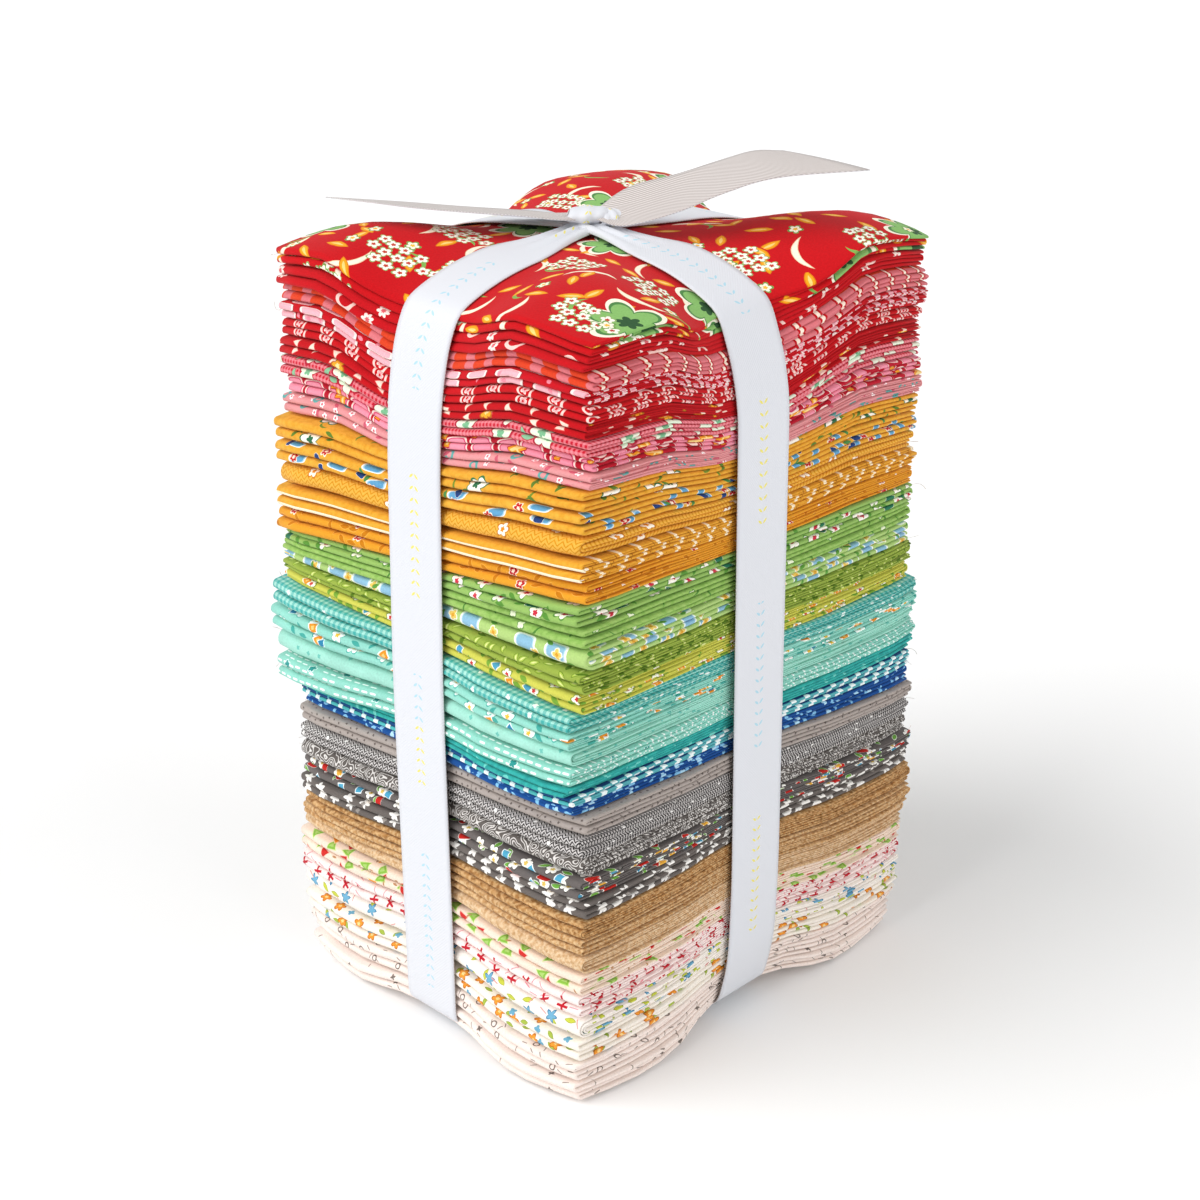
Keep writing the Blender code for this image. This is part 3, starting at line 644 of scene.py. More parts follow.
def knot_wrap(name, centre, radii, width, turn, ridge):
    """A turn of gathered ribbon round the knot, as a short ridged barrel, open at both ends."""
    right, away, rise = turned_axes(turn)
    angles = np.linspace(0.0, 2 * math.pi, 48, endpoint=False)
    columns = np.linspace(-1.0, 1.0, 25)
    points = np.zeros((len(angles), len(columns), 3))
    for i, angle in enumerate(angles):
        for j, column in enumerate(columns):
            swelling = (1.0 - 0.42 * abs(column) ** 2.4) * (1 + ridge * math.cos(column * 8.0 + 0.5))
            out = away * math.cos(angle) * radii[0] + rise * math.sin(angle) * radii[1]
            slant = 0.12 * math.sin(angle)
            points[i, j] = centre + out * swelling + right * (column + slant) * width / 2
    length = math.pi * (radii[0] + radii[1])
    around = np.linspace(0.0, length, len(angles) + 1)
    flat = np.stack(np.broadcast_arrays(columns[None, :] * RIBBON_HALF, around[:, None]), axis=2)
    return sheet_object(name, points * MM, flat * MM, RIBBON * MM), length * MM


wrap, length_wrap = knot_wrap("ribbon_knot", KNOT + (0.0, 0.0, 0.4), (4.2, 2.1), 10.0, VIEW_TURN, 0.06)
side = turned_axes(VIEW_TURN)[0]
bulge, length_bulge = knot_wrap(
    "ribbon_knot_loop", KNOT + side * 5.5 - (0, 0, 0.3), (3.8, 2.0), 6.5, VIEW_TURN + 0.6, 0.08
)
ribbon_parts = (band_y, band_x, left_tail, right_tail, wrap, bulge)
for part in ribbon_parts:
    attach(part, "root")
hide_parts("ribbon")
length_y += length_wrap + length_bulge

# Printed cotton
# The cloths are plain-weave quilting cotton. Each is printed on one side with small motifs, tossed
# or in rows, and the wrong side shows a pale ghost of its print.
FOLD_ACROSS = FLAT_WIDTH / 4
FOLD_ALONG = FLAT_LENGTH / 4
VECTOR, FLOAT, COLOUR = "NodeSocketVector", "NodeSocketFloat", "NodeSocketColor"


class Tree:
    """Short calls that add shader nodes to one tree. A value is a number, a tuple or a socket."""

    def __init__(self, tree):
        self.tree = tree

    def feed(self, socket, value):
        if isinstance(value, bpy.types.NodeSocket):
            self.tree.links.new(value, socket)
        else:
            socket.default_value = value

    def node(self, kind, values=(), **settings):
        node = self.tree.nodes.new(kind)
        for key, value in settings.items():
            setattr(node, key, value)
        for key, value in dict(values).items():
            self.feed(node.inputs[key], value)
        return node

    def math(self, operation, *values):
        return self.node("ShaderNodeMath", enumerate(values), operation=operation).outputs[0]

    def vector(self, operation, *values):
        node = self.node("ShaderNodeVectorMath", enumerate(values), operation=operation)
        return node.outputs["Value" if operation == "LENGTH" else "Vector"]

    def scaled(self, vector, scale):
        node = self.node("ShaderNodeVectorMath", {0: vector, "Scale": scale}, operation="SCALE")
        return node.outputs["Vector"]

    def split(self, vector):
        return self.node("ShaderNodeSeparateXYZ", {0: vector}).outputs[:]

    def join(self, x, y, z=0.0):
        return self.node("ShaderNodeCombineXYZ", {0: x, 1: y, 2: z}).outputs[0]

    def blend(self, share, first, second):
        values = {0: share, 6: first, 7: second}
        return self.node("ShaderNodeMix", values, data_type="RGBA").outputs[2]

    def group(self, name, **values):
        node = self.tree.nodes.new("ShaderNodeGroup")
        node.node_tree = bpy.data.node_groups[name]
        for key, value in values.items():
            self.feed(node.inputs[key.replace("_", " ").capitalize()], value)
        return node.outputs


def new_material(name, roughness):
    """A material, with calls for its node tree and its shader."""
    material = bpy.data.materials.new(name)
    material.use_nodes = True
    shader = material.node_tree.nodes["Principled BSDF"]
    shader.inputs["Roughness"].default_value = roughness
    return material, Tree(material.node_tree), shader


def new_group(name, inputs, outputs):
    """An empty shader node group, as its tree, its given values and its results."""
    group = bpy.data.node_groups.new(name, "ShaderNodeTree")
    for label, kind in inputs:
        group.interface.new_socket(label, in_out="INPUT", socket_type=kind)
    for label, kind in outputs:
        group.interface.new_socket(label, in_out="OUTPUT", socket_type=kind)
    given = group.nodes.new("NodeGroupInput").outputs
    result = group.nodes.new("NodeGroupOutput").inputs
    return Tree(group), given, result


# Cells hold one motif each: jitter 0 sets them in rows and jitter 1 tosses them.
tree, given, result = new_group(
    "Motif cells",
    [
        ("Flat", VECTOR),
        ("Spacing", FLOAT),
        ("Stretch", FLOAT),
        ("Stagger", FLOAT),
        ("Jitter", FLOAT),
        ("Turn", FLOAT),
        ("Shift", VECTOR),
    ],
    [("Local", VECTOR), ("Chance", FLOAT), ("Pick", FLOAT), ("Centre", VECTOR)],
)
x, y, _ = tree.split(tree.vector("ADD", given["Flat"], given["Shift"]))
row_place = tree.math("DIVIDE", y, given["Spacing"])
wide = tree.math("MULTIPLY", given["Spacing"], given["Stretch"])
lean = tree.math("MULTIPLY", tree.math("ROUND", row_place), given["Stagger"])
place = tree.join(tree.math("ADD", tree.math("DIVIDE", x, wide), lean), row_place)
cells = tree.node(
    "ShaderNodeTexVoronoi",
    {"Vector": place, "Scale": 1.0, "Randomness": given["Jitter"]},
    voronoi_dimensions="2D",
)
local = tree.vector(
    "MULTIPLY",
    tree.vector("SUBTRACT", place, cells.outputs["Position"]),
    tree.join(wide, given["Spacing"]),
)
red, green, blue = tree.node("ShaderNodeSeparateColor", {0: cells.outputs["Color"]}).outputs[:]
angle = tree.math("MULTIPLY", tree.math("SUBTRACT", green, 0.5), given["Turn"])
turned = tree.node("ShaderNodeVectorRotate", {"Vector": local, "Angle": angle}, rotation_type="Z_AXIS")
tree.feed(result["Local"], turned.outputs[0])
tree.feed(result["Chance"], red)
tree.feed(result["Pick"], blue)
tree.feed(result["Centre"], tree.vector("SUBTRACT", given["Flat"], local))

# A motif's depth is 1 at its heart, 0 at its edge and less outside.
MOTIF_INPUTS = [("Local", VECTOR), ("Size", FLOAT), ("Detail", FLOAT)]
MOTIF_OUTPUTS = [("Depth", FLOAT)]

tree, given, result = new_group("Motif petals", MOTIF_INPUTS, MOTIF_OUTPUTS)
x, y, _ = tree.split(given["Local"])
turns = tree.math("MULTIPLY", tree.math("ARCTAN2", y, x), tree.math("DIVIDE", given["Detail"], 2.0))
lobe = tree.math("MULTIPLY_ADD", tree.math("ABSOLUTE", tree.math("COSINE", turns)), 0.42, 0.58)
reach = tree.math("DIVIDE", tree.vector("LENGTH", given["Local"]), tree.math("MULTIPLY", given["Size"], lobe))
tree.feed(result["Depth"], tree.math("SUBTRACT", 1.0, reach))

tree, given, result = new_group("Motif leaf", MOTIF_INPUTS, MOTIF_OUTPUTS)
x, y, _ = tree.split(given["Local"])
share = tree.math("DIVIDE", x, given["Size"])
narrowing = tree.math("SUBTRACT", 1.0, tree.math("MULTIPLY", share, share))
off = tree.math("DIVIDE", tree.math("ABSOLUTE", y), tree.math("MULTIPLY", given["Size"], given["Detail"]))
tree.feed(result["Depth"], tree.math("SUBTRACT", narrowing, off))

tree, given, result = new_group("Motif bar", MOTIF_INPUTS, MOTIF_OUTPUTS)
x, y, _ = tree.split(given["Local"])
half = tree.math("MULTIPLY", given["Size"], given["Detail"])
share_x = tree.math("POWER", tree.math("ABSOLUTE", tree.math("DIVIDE", x, given["Size"])), 4.0)
share_y = tree.math("POWER", tree.math("ABSOLUTE", tree.math("DIVIDE", y, half)), 4.0)
tree.feed(result["Depth"], tree.math("SUBTRACT", tree.math("SUBTRACT", 1.0, share_x), share_y))

tree, given, result = new_group("Motif star", MOTIF_INPUTS, MOTIF_OUTPUTS)
x, y, _ = tree.split(given["Local"])
turns = tree.math("MULTIPLY", tree.math("ARCTAN2", y, x), tree.math("DIVIDE", given["Detail"], 2 * math.pi))
point = tree.math("ABSOLUTE", tree.math("SUBTRACT", tree.math("FRACT", turns), 0.5))
edge = tree.math("MULTIPLY", given["Size"], tree.math("MULTIPLY_ADD", point, 1.2, 0.4))
reach = tree.math("DIVIDE", tree.vector("LENGTH", given["Local"]), edge)
tree.feed(result["Depth"], tree.math("SUBTRACT", 1.0, reach))

tree, given, result = new_group("Motif triangle", MOTIF_INPUTS, MOTIF_OUTPUTS)
x, y, _ = tree.split(given["Local"])
room = tree.math("MULTIPLY", tree.math("SUBTRACT", given["Size"], y), given["Detail"])
beside = tree.math("SUBTRACT", room, tree.math("ABSOLUTE", x))
above = tree.math("MULTIPLY_ADD", given["Size"], 0.6, y)
inside = tree.math("MULTIPLY", tree.math("MINIMUM", beside, above), 2.0)
tree.feed(result["Depth"], tree.math("DIVIDE", inside, given["Size"]))

tree, given, result = new_group("Motif diamond", MOTIF_INPUTS, MOTIF_OUTPUTS)
x, y, _ = tree.split(given["Local"])
reach = tree.math("ADD", tree.math("ABSOLUTE", x), tree.math("ABSOLUTE", y))
reach = tree.math("DIVIDE", reach, tree.math("MULTIPLY", given["Size"], given["Detail"]))
tree.feed(result["Depth"], tree.math("SUBTRACT", 1.0, reach))

tree, given, result = new_group("Motif cross", MOTIF_INPUTS, MOTIF_OUTPUTS)
x, y, _ = tree.split(given["Local"])
far = tree.math("MAXIMUM", tree.math("ABSOLUTE", x), tree.math("ABSOLUTE", y))
near = tree.math("MINIMUM", tree.math("ABSOLUTE", x), tree.math("ABSOLUTE", y))
half = tree.math("MULTIPLY", given["Size"], given["Detail"])
inside = tree.math("MINIMUM", tree.math("SUBTRACT", half, near), tree.math("SUBTRACT", given["Size"], far))
tree.feed(result["Depth"], tree.math("DIVIDE", inside, half))

tree, given, result = new_group("Motif ring", MOTIF_INPUTS, MOTIF_OUTPUTS)
off = tree.math("SUBTRACT", tree.vector("LENGTH", given["Local"]), given["Size"])
half = tree.math("MULTIPLY", given["Size"], given["Detail"])
off = tree.math("DIVIDE", tree.math("ABSOLUTE", off), half)
tree.feed(result["Depth"], tree.math("SUBTRACT", 1.0, off))

# A stem is an arc that starts at its cell's middle and tapers at both ends.
tree, given, result = new_group("Motif stem", MOTIF_INPUTS, MOTIF_OUTPUTS)
moved = tree.vector("SUBTRACT", given["Local"], tree.join(given["Size"], 0.0))
x, y, _ = tree.split(moved)
bend = tree.math("ARCTAN2", y, tree.math("MULTIPLY", x, -1.0))
taper = tree.math("SUBTRACT", 1.0, tree.math("MULTIPLY", bend, bend))
off = tree.math("SUBTRACT", tree.vector("LENGTH", moved), given["Size"])
half = tree.math("MULTIPLY", given["Size"], given["Detail"])
off = tree.math("DIVIDE", tree.math("ABSOLUTE", off), half)
tree.feed(result["Depth"], tree.math("SUBTRACT", taper, off))

# Ink fills a motif, draws its outline and colours its heart.
tree, given, result = new_group(
    "Motif ink",
    [
        ("Under", COLOUR),
        ("Depth", FLOAT),
        ("Shown", FLOAT),
        ("Fill", COLOUR),
        ("Line", COLOUR),
        ("Line width", FLOAT),
        ("Heart", COLOUR),
        ("Heart from", FLOAT),
    ],
    [("Colour", COLOUR)],
)
outline = tree.math("LESS_THAN", given["Depth"], given["Line width"])
heart = tree.math("GREATER_THAN", given["Depth"], given["Heart from"])
colour = tree.blend(heart, tree.blend(outline, given["Fill"], given["Line"]), given["Heart"])
inside = tree.math("MULTIPLY", tree.math("GREATER_THAN", given["Depth"], 0.0), given["Shown"])
tree.feed(result["Colour"], tree.blend(inside, given["Under"], colour))

# Patterns that cover the whole cloth. Size is their period and detail the share that is covered.
PATTERN_INPUTS = [("Flat", VECTOR), ("Size", FLOAT), ("Detail", FLOAT)]
PATTERN_OUTPUTS = [("Shape", FLOAT)]


def stripe_mask(tree, place, period, share):
    phase = tree.math("FRACT", tree.math("ADD", tree.math("DIVIDE", place, period), 0.5))
    off = tree.math("ABSOLUTE", tree.math("SUBTRACT", phase, 0.5))
    return tree.math("LESS_THAN", off, tree.math("MULTIPLY", share, 0.5))


tree, given, result = new_group("Pattern stripe", PATTERN_INPUTS, PATTERN_OUTPUTS)
x, y, _ = tree.split(given["Flat"])
tree.feed(result["Shape"], stripe_mask(tree, y, given["Size"], given["Detail"]))

tree, given, result = new_group("Pattern blocks", PATTERN_INPUTS, PATTERN_OUTPUTS)
x, y, _ = tree.split(given["Flat"])
tree.feed(result["Shape"], stripe_mask(tree, x, given["Size"], given["Detail"]))

tree, given, result = new_group("Pattern check", PATTERN_INPUTS, PATTERN_OUTPUTS)
x, y, _ = tree.split(given["Flat"])
lengthwise = stripe_mask(tree, x, given["Size"], given["Detail"])
crosswise = stripe_mask(tree, y, given["Size"], given["Detail"])
either = tree.math("MAXIMUM", lengthwise, crosswise)
both = tree.math("MULTIPLY", lengthwise, crosswise)
tree.feed(result["Shape"], tree.math("MULTIPLY_ADD", both, 0.4, tree.math("MULTIPLY", either, 0.6)))

tree, given, result = new_group("Pattern zigzag", PATTERN_INPUTS, PATTERN_OUTPUTS)
x, y, _ = tree.split(given["Flat"])
swing = tree.math("PINGPONG", x, given["Size"])
tree.feed(result["Shape"], stripe_mask(tree, tree.math("ADD", y, swing), given["Size"], given["Detail"]))

tree, given, result = new_group("Pattern scroll", PATTERN_INPUTS, PATTERN_OUTPUTS)
place = tree.scaled(given["Flat"], tree.math("DIVIDE", 1.0, given["Size"]))
field = tree.node("ShaderNodeTexNoise", {"Vector": place, "Scale": 1.0, "Detail": 0.0}).outputs[0]
tree.feed(result["Shape"], stripe_mask(tree, field, 0.14, given["Detail"]))

tree, given, result = new_group("Pattern mottle", PATTERN_INPUTS, PATTERN_OUTPUTS)
place = tree.scaled(given["Flat"], tree.math("DIVIDE", 1.0, given["Size"]))
field = tree.node("ShaderNodeTexNoise", {"Vector": place, "Scale": 1.0, "Detail": 4.0}).outputs[0]
spread = tree.node("ShaderNodeMapRange", {0: field, 1: 0.42, 2: 0.62, 3: 0.0, 4: given["Detail"]})
tree.feed(result["Shape"], spread.outputs[0])

# Weave, faint unevenness of the dye and the paler wrong side, shared by all the cloths.
tree, given, result = new_group(
    "Cotton finish",
    [("Print", COLOUR), ("Flat", VECTOR), ("Wrong side", FLOAT)],
    [("Colour", COLOUR), ("Normal", VECTOR)],
)
grain = tree.node("ShaderNodeTexNoise", {"Vector": given["Flat"], "Scale": 1700.0, "Detail": 2.0}).outputs[0]
cloud = tree.node("ShaderNodeTexNoise", {"Vector": given["Flat"], "Scale": 60.0, "Detail": 2.0}).outputs[0]
tone = tree.math("MULTIPLY_ADD", grain, 0.34, 0.83)
tone = tree.math("ADD", tone, tree.math("MULTIPLY_ADD", cloud, 0.16, -0.08))
toned = tree.scaled(given["Print"], tone)
ghost = tree.blend(0.62, toned, (0.78, 0.76, 0.74, 1.0))
tree.feed(result["Colour"], tree.blend(given["Wrong side"], toned, ghost))
fibres = tree.math("ADD", grain, tree.math("MULTIPLY", cloud, 3.0))
bump = tree.node("ShaderNodeBump", {"Height": fibres, "Distance": 0.00012, "Strength": 0.55})
tree.feed(result["Normal"], bump.outputs[0])


def dye(code):
    """Linear colour of a hexadecimal screen colour."""
    parts = [int(code[k : k + 2], 16) / 255 for k in (0, 2, 4)]
    return tuple(p / 12.92 if p <= 0.04045 else ((p + 0.055) / 1.055) ** 2.4 for p in parts) + (1.0,)


# One layer of a print. Spacing and size are in mm, and detail is the motif's own: its count of
# petals or points, or its width as a share of its size. Share is how many cells hold the motif. In
# a cluster, which is a round posy of petals, share is the posies' spacing in mm instead.
Layer = namedtuple(
    "Layer",
    "kind spacing size detail fill line heart share jitter turn stretch stagger shift width",
    defaults=(None, None, 0.75, 0.75, 6.28, 1.0, 0.0, (0.0, 0.0), 0.22),
)
PRINTS = {
    "red_garden": (
        "c40b15",
        Layer("stem", 21.0, 7.6, 0.12, "f7ecd6", "e9c9a4", share=0.8, jitter=0.5, shift=(11, 4)),
        Layer("stem", 19.0, 5.2, 0.11, "7fae52", share=0.6, jitter=0.6, shift=(3, 12)),
        Layer("leaf", 8.6, 3.7, 0.36, "f0a21a", "d9820f", "fbd27a", 0.62, 0.8, shift=(3, 0)),
        Layer("petals", 38.0, 11.2, 6, "f6f1dc", share=0.8, jitter=0.3, shift=(8, 25), turn=2.0),
        Layer("petals", 38.0, 9.6, 6, "86b968", "4d8446", "2e5632", 0.8, 0.3, 2.0, shift=(8, 25), width=0.12),
        Layer("cluster", 3.9, 2.1, 5, "fbf8ea", "8fae6b", "c04434", 38.0, 0.3, shift=(27, 6), width=0.2),
        Layer("petals", 13.0, 2.2, 5, "fbf4df", "6f9c4c", "f0b63a", 0.35, 0.6, shift=(6, 3), width=0.25),
    ),
    "red_fans": (
        "c20e19",
        Layer("petals", 16.6, 2.3, 7, "f8e6dd", "c20e19", "d9636a", 0.8, 0.6, width=0.2),
        Layer("ring", 22.0, 2.4, 0.2, "f4cfc6", share=0.6, jitter=0.7, shift=(7, 5)),
    ),
    "red_checks": (
        "d94322",
        Layer("blocks", 0.0, 8.6, 0.42, "d9777e"),
        Layer("stripe", 0.0, 7.0, 0.34, "bf0f1a", shift=(0, 3)),
        Layer("stripe", 0.0, 7.0, 0.15, "fbead8", shift=(0, 3)),
    ),
    "red_bricks": (
        "c4101e",
        Layer("bar", 2.9, 4.9, 0.22, "f9e9e4", "9d0d18", "f2b3bd", 0.85, 0.06, 0.05, 4.3, 0.5, width=0.3),
        Layer("leaf", 5.3, 1.0, 0.5, "f08fa0", share=0.5, jitter=0.8, shift=(2, 0)),
    ),
    "red_rings": (
        "c20e18",
        Layer("ring", 8.9, 2.2, 0.16, "f6d3cb", share=0.9, jitter=0.15, turn=0.0, stretch=1.2),
        Layer("petals", 8.9, 1.3, 5, "f2aeb0", "f9e0da", "c20e18", 0.9, 0.15, 0.0, 1.2),
        Layer("triangle", 8.9, 1.3, 0.6, "fae9de", None, None, 0.9, 0.1, 0.0, 1.2, shift=(5.5, 4.4)),
    ),
    "red_triangles": (
        "bd0c17",
        Layer("triangle", 8.3, 1.6, 0.6, "f7dccb", "e2746b", share=0.85, jitter=0.3, turn=3.14),
        Layer("petals", 19.0, 2.6, 6, "efa72c", "b0671a", "f8dc96", 0.8),
    ),
    "pink_basket": (
        "c4182f",
        Layer("check", 0.0, 1.35, 0.5, "e98a94"),
        Layer("petals", 14.8, 4.4, 5, "e4efd9", "b3263c", "79b78b", 0.9, 0.35, width=0.16),
        Layer("leaf", 14.8, 2.3, 0.42, "86bd94", "b3263c", share=0.7, jitter=0.4, shift=(6, 2)),
    ),
    "pink_patches": (
        "b8152c",
        Layer("bar", 5.3, 4.0, 0.56, "d64c74", "f8dcd4", "ee94a8", 1.0, 0.12, 0.3, 1.75, 0.5, width=0.45),
        Layer("cross", 13.3, 3.2, 0.36, "f0a127", "b8152c", "fbdc8e", 0.85, 0.5, 0.8),
    ),
    "pink_sprigs": (
        "df9698",
        Layer("petals", 5.1, 1.3, 5, "fef6f3", "d87f8d", "d65a6c", 0.75),
        Layer("ring", 8.3, 1.2, 0.34, "5fa9a4", share=0.7),
        Layer("leaf", 6.1, 1.4, 0.4, "cf5d72", share=0.5, shift=(2, 3)),
    ),
    "gold_sprigs": (
        "e6a93a",
        Layer("mottle", 0.0, 1.6, 0.5, "cf8a12"),
        Layer("stem", 9.5, 2.6, 0.14, "6f8a2d", share=0.75),
        Layer("leaf", 8.1, 1.6, 0.4, "5d7d2c", share=0.5, shift=(2, 1)),
        Layer("petals", 21.0, 4.3, 5, "fbf6ea", "3c7646", "2f6b47", 0.7, width=0.14),
    ),
    "gold_blocks": (
        "e8ad3e",
        Layer("mottle", 0.0, 1.8, 0.5, "d28f16"),
        Layer("bar", 8.9, 3.6, 0.36, "a3cde6", "f6fbfd", "5f9fc9", 0.62, 0.3, 0.5, 1.7, width=0.4),
        Layer("bar", 13.3, 1.6, 0.6, "22407c", "f4f0e2", share=0.65, jitter=0.6, shift=(4, 3)),
        Layer("petals", 14.8, 1.9, 6, "c21b22", "f6e9d2", "f6e9d2", 0.8, shift=(6, 2)),
        Layer("leaf", 9.5, 1.5, 0.42, "4c8a4a", share=0.5, shift=(3, 5)),
    ),
    "gold_zigzag": (
        "e9b046",
        Layer("zigzag", 0.0, 1.3, 0.36, "d38f1b"),
        Layer("petals", 14.8, 2.4, 5, "fdf6e6", "c87a14", "e08a1c", 0.8),
    ),
    "gold_stripe": (
        "e6a838",
        Layer("mottle", 0.0, 1.6, 0.5, "d08d12"),
        Layer("stripe", 0.0, 6.66, 0.17, "fdf0d2", shift=(0, 0.6)),
        Layer("stripe", 0.0, 6.66, 0.05, "b06f18", shift=(0, 2.4)),
    ),
    "gold_leaves": (
        "e19b28",
        Layer("leaf", 4.4, 1.9, 0.42, "c67a0c", "eeb04a", share=0.85),
        Layer("petals", 12.1, 1.8, 5, "bf1f28", "f8ead8", "f8ead8", 0.7),
    ),
    "green_blossom": (
        "92b862",
        Layer("leaf", 5.5, 1.7, 0.42, "578f37", share=0.7),
        Layer("bar", 16.0, 2.4, 0.5, "2a7355", "f4f2e4", share=0.7, shift=(5, 3)),
        Layer("petals", 7.6, 2.8, 5, "faf5ea", "5f9140", "c92f43", 0.85, width=0.16),
    ),
    "green_stems": (
        "9ec26a",
        Layer("mottle", 0.0, 1.8, 0.5, "6ea23c"),
        Layer("stem", 8.9, 2.3, 0.13, "4f8636", share=0.8),
        Layer("petals", 12.1, 1.5, 4, "eef4d6", "5b8f3c", share=0.6),
    ),
    "green_patches": (
        "aecc7c",
        Layer("bar", 7.6, 3.6, 0.72, "b9d8ea", "f6faf4", "8dbbd6", 0.8, 0.2, 0.0, 1.35, 0.5, width=0.5),
        Layer("petals", 7.6, 1.8, 4, "ecc864", "fdf8e2", "d99b2e", 0.7, 0.6, shift=(3, 2)),
        Layer("leaf", 6.3, 1.4, 0.4, "5f9a40", share=0.5, shift=(1, 4)),
    ),
    "green_leaves": (
        "96ab46",
        Layer("leaf", 3.8, 1.7, 0.46, "abc24e", "5c7a1a", "dbe292", 0.85),
        Layer("leaf", 5.2, 1.6, 0.4, "58781a", share=0.7, shift=(2, 3)),
    ),
    "citron_dots": (
        "cbca55",
        Layer("leaf", 4.6, 1.7, 0.44, "79a53a", share=0.75),
        Layer("petals", 7.8, 2.1, 5, "fdfbee", "8a9a30", "cf3b3b", 0.65, shift=(2, 0)),
        Layer("diamond", 11.1, 2.0, 1.0, "ee9427", "fdf8e0", "f9c778", 0.7, shift=(5, 1)),
        Layer("diamond", 12.7, 1.8, 1.0, "4f9fc2", "fdf8e0", share=0.65, shift=(9, 4)),
    ),
    "aqua_gingham": (
        "a6dccf",
        Layer("check", 0.0, 1.9, 0.5, "43aaa4"),
        Layer("petals", 7.1, 0.8, 4, "f4fbf8", share=0.6),
    ),
    "aqua_blossom": (
        "92d3c4",
        Layer("leaf", 5.3, 1.6, 0.4, "46a79c", share=0.6),
        Layer("petals", 7.4, 2.5, 5, "fdfefa", "4fada2", "f2bd45", 0.75, width=0.14),
        Layer("diamond", 13.3, 2.3, 1.0, "ee9427", "fdfaf0", "f9c778", 0.75, shift=(4, 2)),
        Layer("diamond", 14.8, 1.7, 1.0, "2d84ad", "e4f3f4", share=0.7, shift=(9, 6)),
    ),
    "aqua_plain": (
        "a0d8c8",
        Layer("mottle", 0.0, 7.0, 0.5, "abe5d5"),
        Layer("petals", 5.3, 0.7, 4, "6fbfb2", share=0.5),
    ),
    "aqua_dashes": (
        "92d2c3",
        Layer("bar", 2.1, 1.0, 0.28, "f8fefb", share=0.9, jitter=0.15, turn=0.0, stretch=1.4, stagger=0.5),
        Layer("petals", 11.1, 1.6, 5, "2f948f", "dff4ef", share=0.5),
    ),
    "teal_plain": (
        "36aea6",
        Layer("mottle", 0.0, 3.0, 0.7, "22898a"),
        Layer("leaf", 4.4, 1.2, 0.4, "6fcdc2", share=0.5),
    ),
    "navy_plaid": (
        "164a80",
        Layer("check", 0.0, 5.3, 0.16, "6ecfcb"),
        Layer("bar", 5.3, 1.0, 1.0, "f1f9f9", "6ecfcb", share=1.0, jitter=0.0, turn=0.0),
        Layer("bar", 5.3, 1.5, 0.4, "52b7b8", share=1.0, jitter=0.0, turn=0.0, shift=(2.65, 0)),
    ),
    "royal_leaves": (
        "174c90",
        Layer("leaf", 3.2, 1.3, 0.46, "86c2e8", share=0.8),
        Layer("petals", 4.9, 1.0, 3, "b2dcf2", share=0.65, shift=(2, 3)),
    ),
    "grey_pin_dots": (
        "aaa09a",
        Layer("petals", 2.4, 0.38, 4, "645a56", share=0.8, jitter=0.5),
        Layer("stem", 8.9, 2.0, 0.08, "7d736e", share=0.6),
    ),
    "grey_zigzag": (
        "cfcbc9",
        Layer("zigzag", 0.0, 0.95, 0.5, "3a3635"),
        Layer("petals", 6.3, 0.9, 5, "f4f2ef", "3a3635", share=0.7),
    ),
    "grey_scroll": (
        "625c58",
        Layer("scroll", 0.0, 2.8, 0.36, "dbd7d3"),
    ),
    "charcoal_blossom": (
        "686260",
        Layer("leaf", 6.1, 1.9, 0.46, "6fa944", "e6ecd8", share=0.65, shift=(3, 1)),
        Layer("petals", 6.6, 2.3, 5, "f8f6ef", "3b3735", "d9b95a", 0.72, width=0.12),
        Layer("bar", 11.1, 2.2, 0.5, "c3271f", "f6f2ea", share=0.75, shift=(5, 2)),
        Layer("diamond", 10.2, 1.9, 1.0, "4fa3c4", "f0f6f6", share=0.75, shift=(9, 5)),
        Layer("petals", 14.8, 1.7, 4, "ecb040", "f8f2e0", share=0.7, shift=(1, 8)),
    ),
    "charcoal_stars": (
        "69625e",
        Layer("star", 6.2, 2.1, 5, "f4f1ec", share=0.85, jitter=0.3),
        Layer("petals", 7.8, 0.8, 4, "9a938d", share=0.6, shift=(3, 2)),
    ),
    "tan_dark": (
        "b3824c",
        Layer("mottle", 0.0, 1.7, 0.85, "815429"),
        Layer("mottle", 0.0, 1.1, 0.75, "e0ba86", shift=(9, 0)),
    ),
    "tan_mottled": (
        "c49763",
        Layer("mottle", 0.0, 1.6, 0.8, "96673a"),
        Layer("mottle", 0.0, 1.0, 0.7, "e7c99c", shift=(7, 0)),
    ),
    "tan_light": (
        "d5b085",
        Layer("mottle", 0.0, 1.5, 0.7, "ad8150"),
        Layer("mottle", 0.0, 1.0, 0.6, "f0dab8", shift=(5, 0)),
    ),
    "cream_triangles": (
        "f0dccb",
        Layer("triangle", 7.2, 2.5, 0.55, "86b845", "c9dc96", "a9cc70", 0.6, 0.5, 3.14),
        Layer("triangle", 8.3, 2.3, 0.55, "cb2f2a", "f3c6b4", share=0.5, jitter=0.5, turn=3.14, shift=(4, 3)),
        Layer("triangle", 9.5, 2.2, 0.55, "ec9230", "f8d9a8", share=0.5, jitter=0.5, turn=3.14, shift=(7, 5)),
        Layer("leaf", 5.1, 1.0, 0.3, "b98c66", share=0.5, shift=(2, 6)),
    ),
    "cream_crosses": (
        "f6e5e1",
        Layer("bar", 3.4, 1.4, 0.1, "e2919c", share=0.6, jitter=0.7),
        Layer("cross", 6.3, 1.7, 0.2, "bd1f2e", share=0.85, jitter=0.2, turn=1.2),
    ),
    "white_stars": (
        "f5eee6",
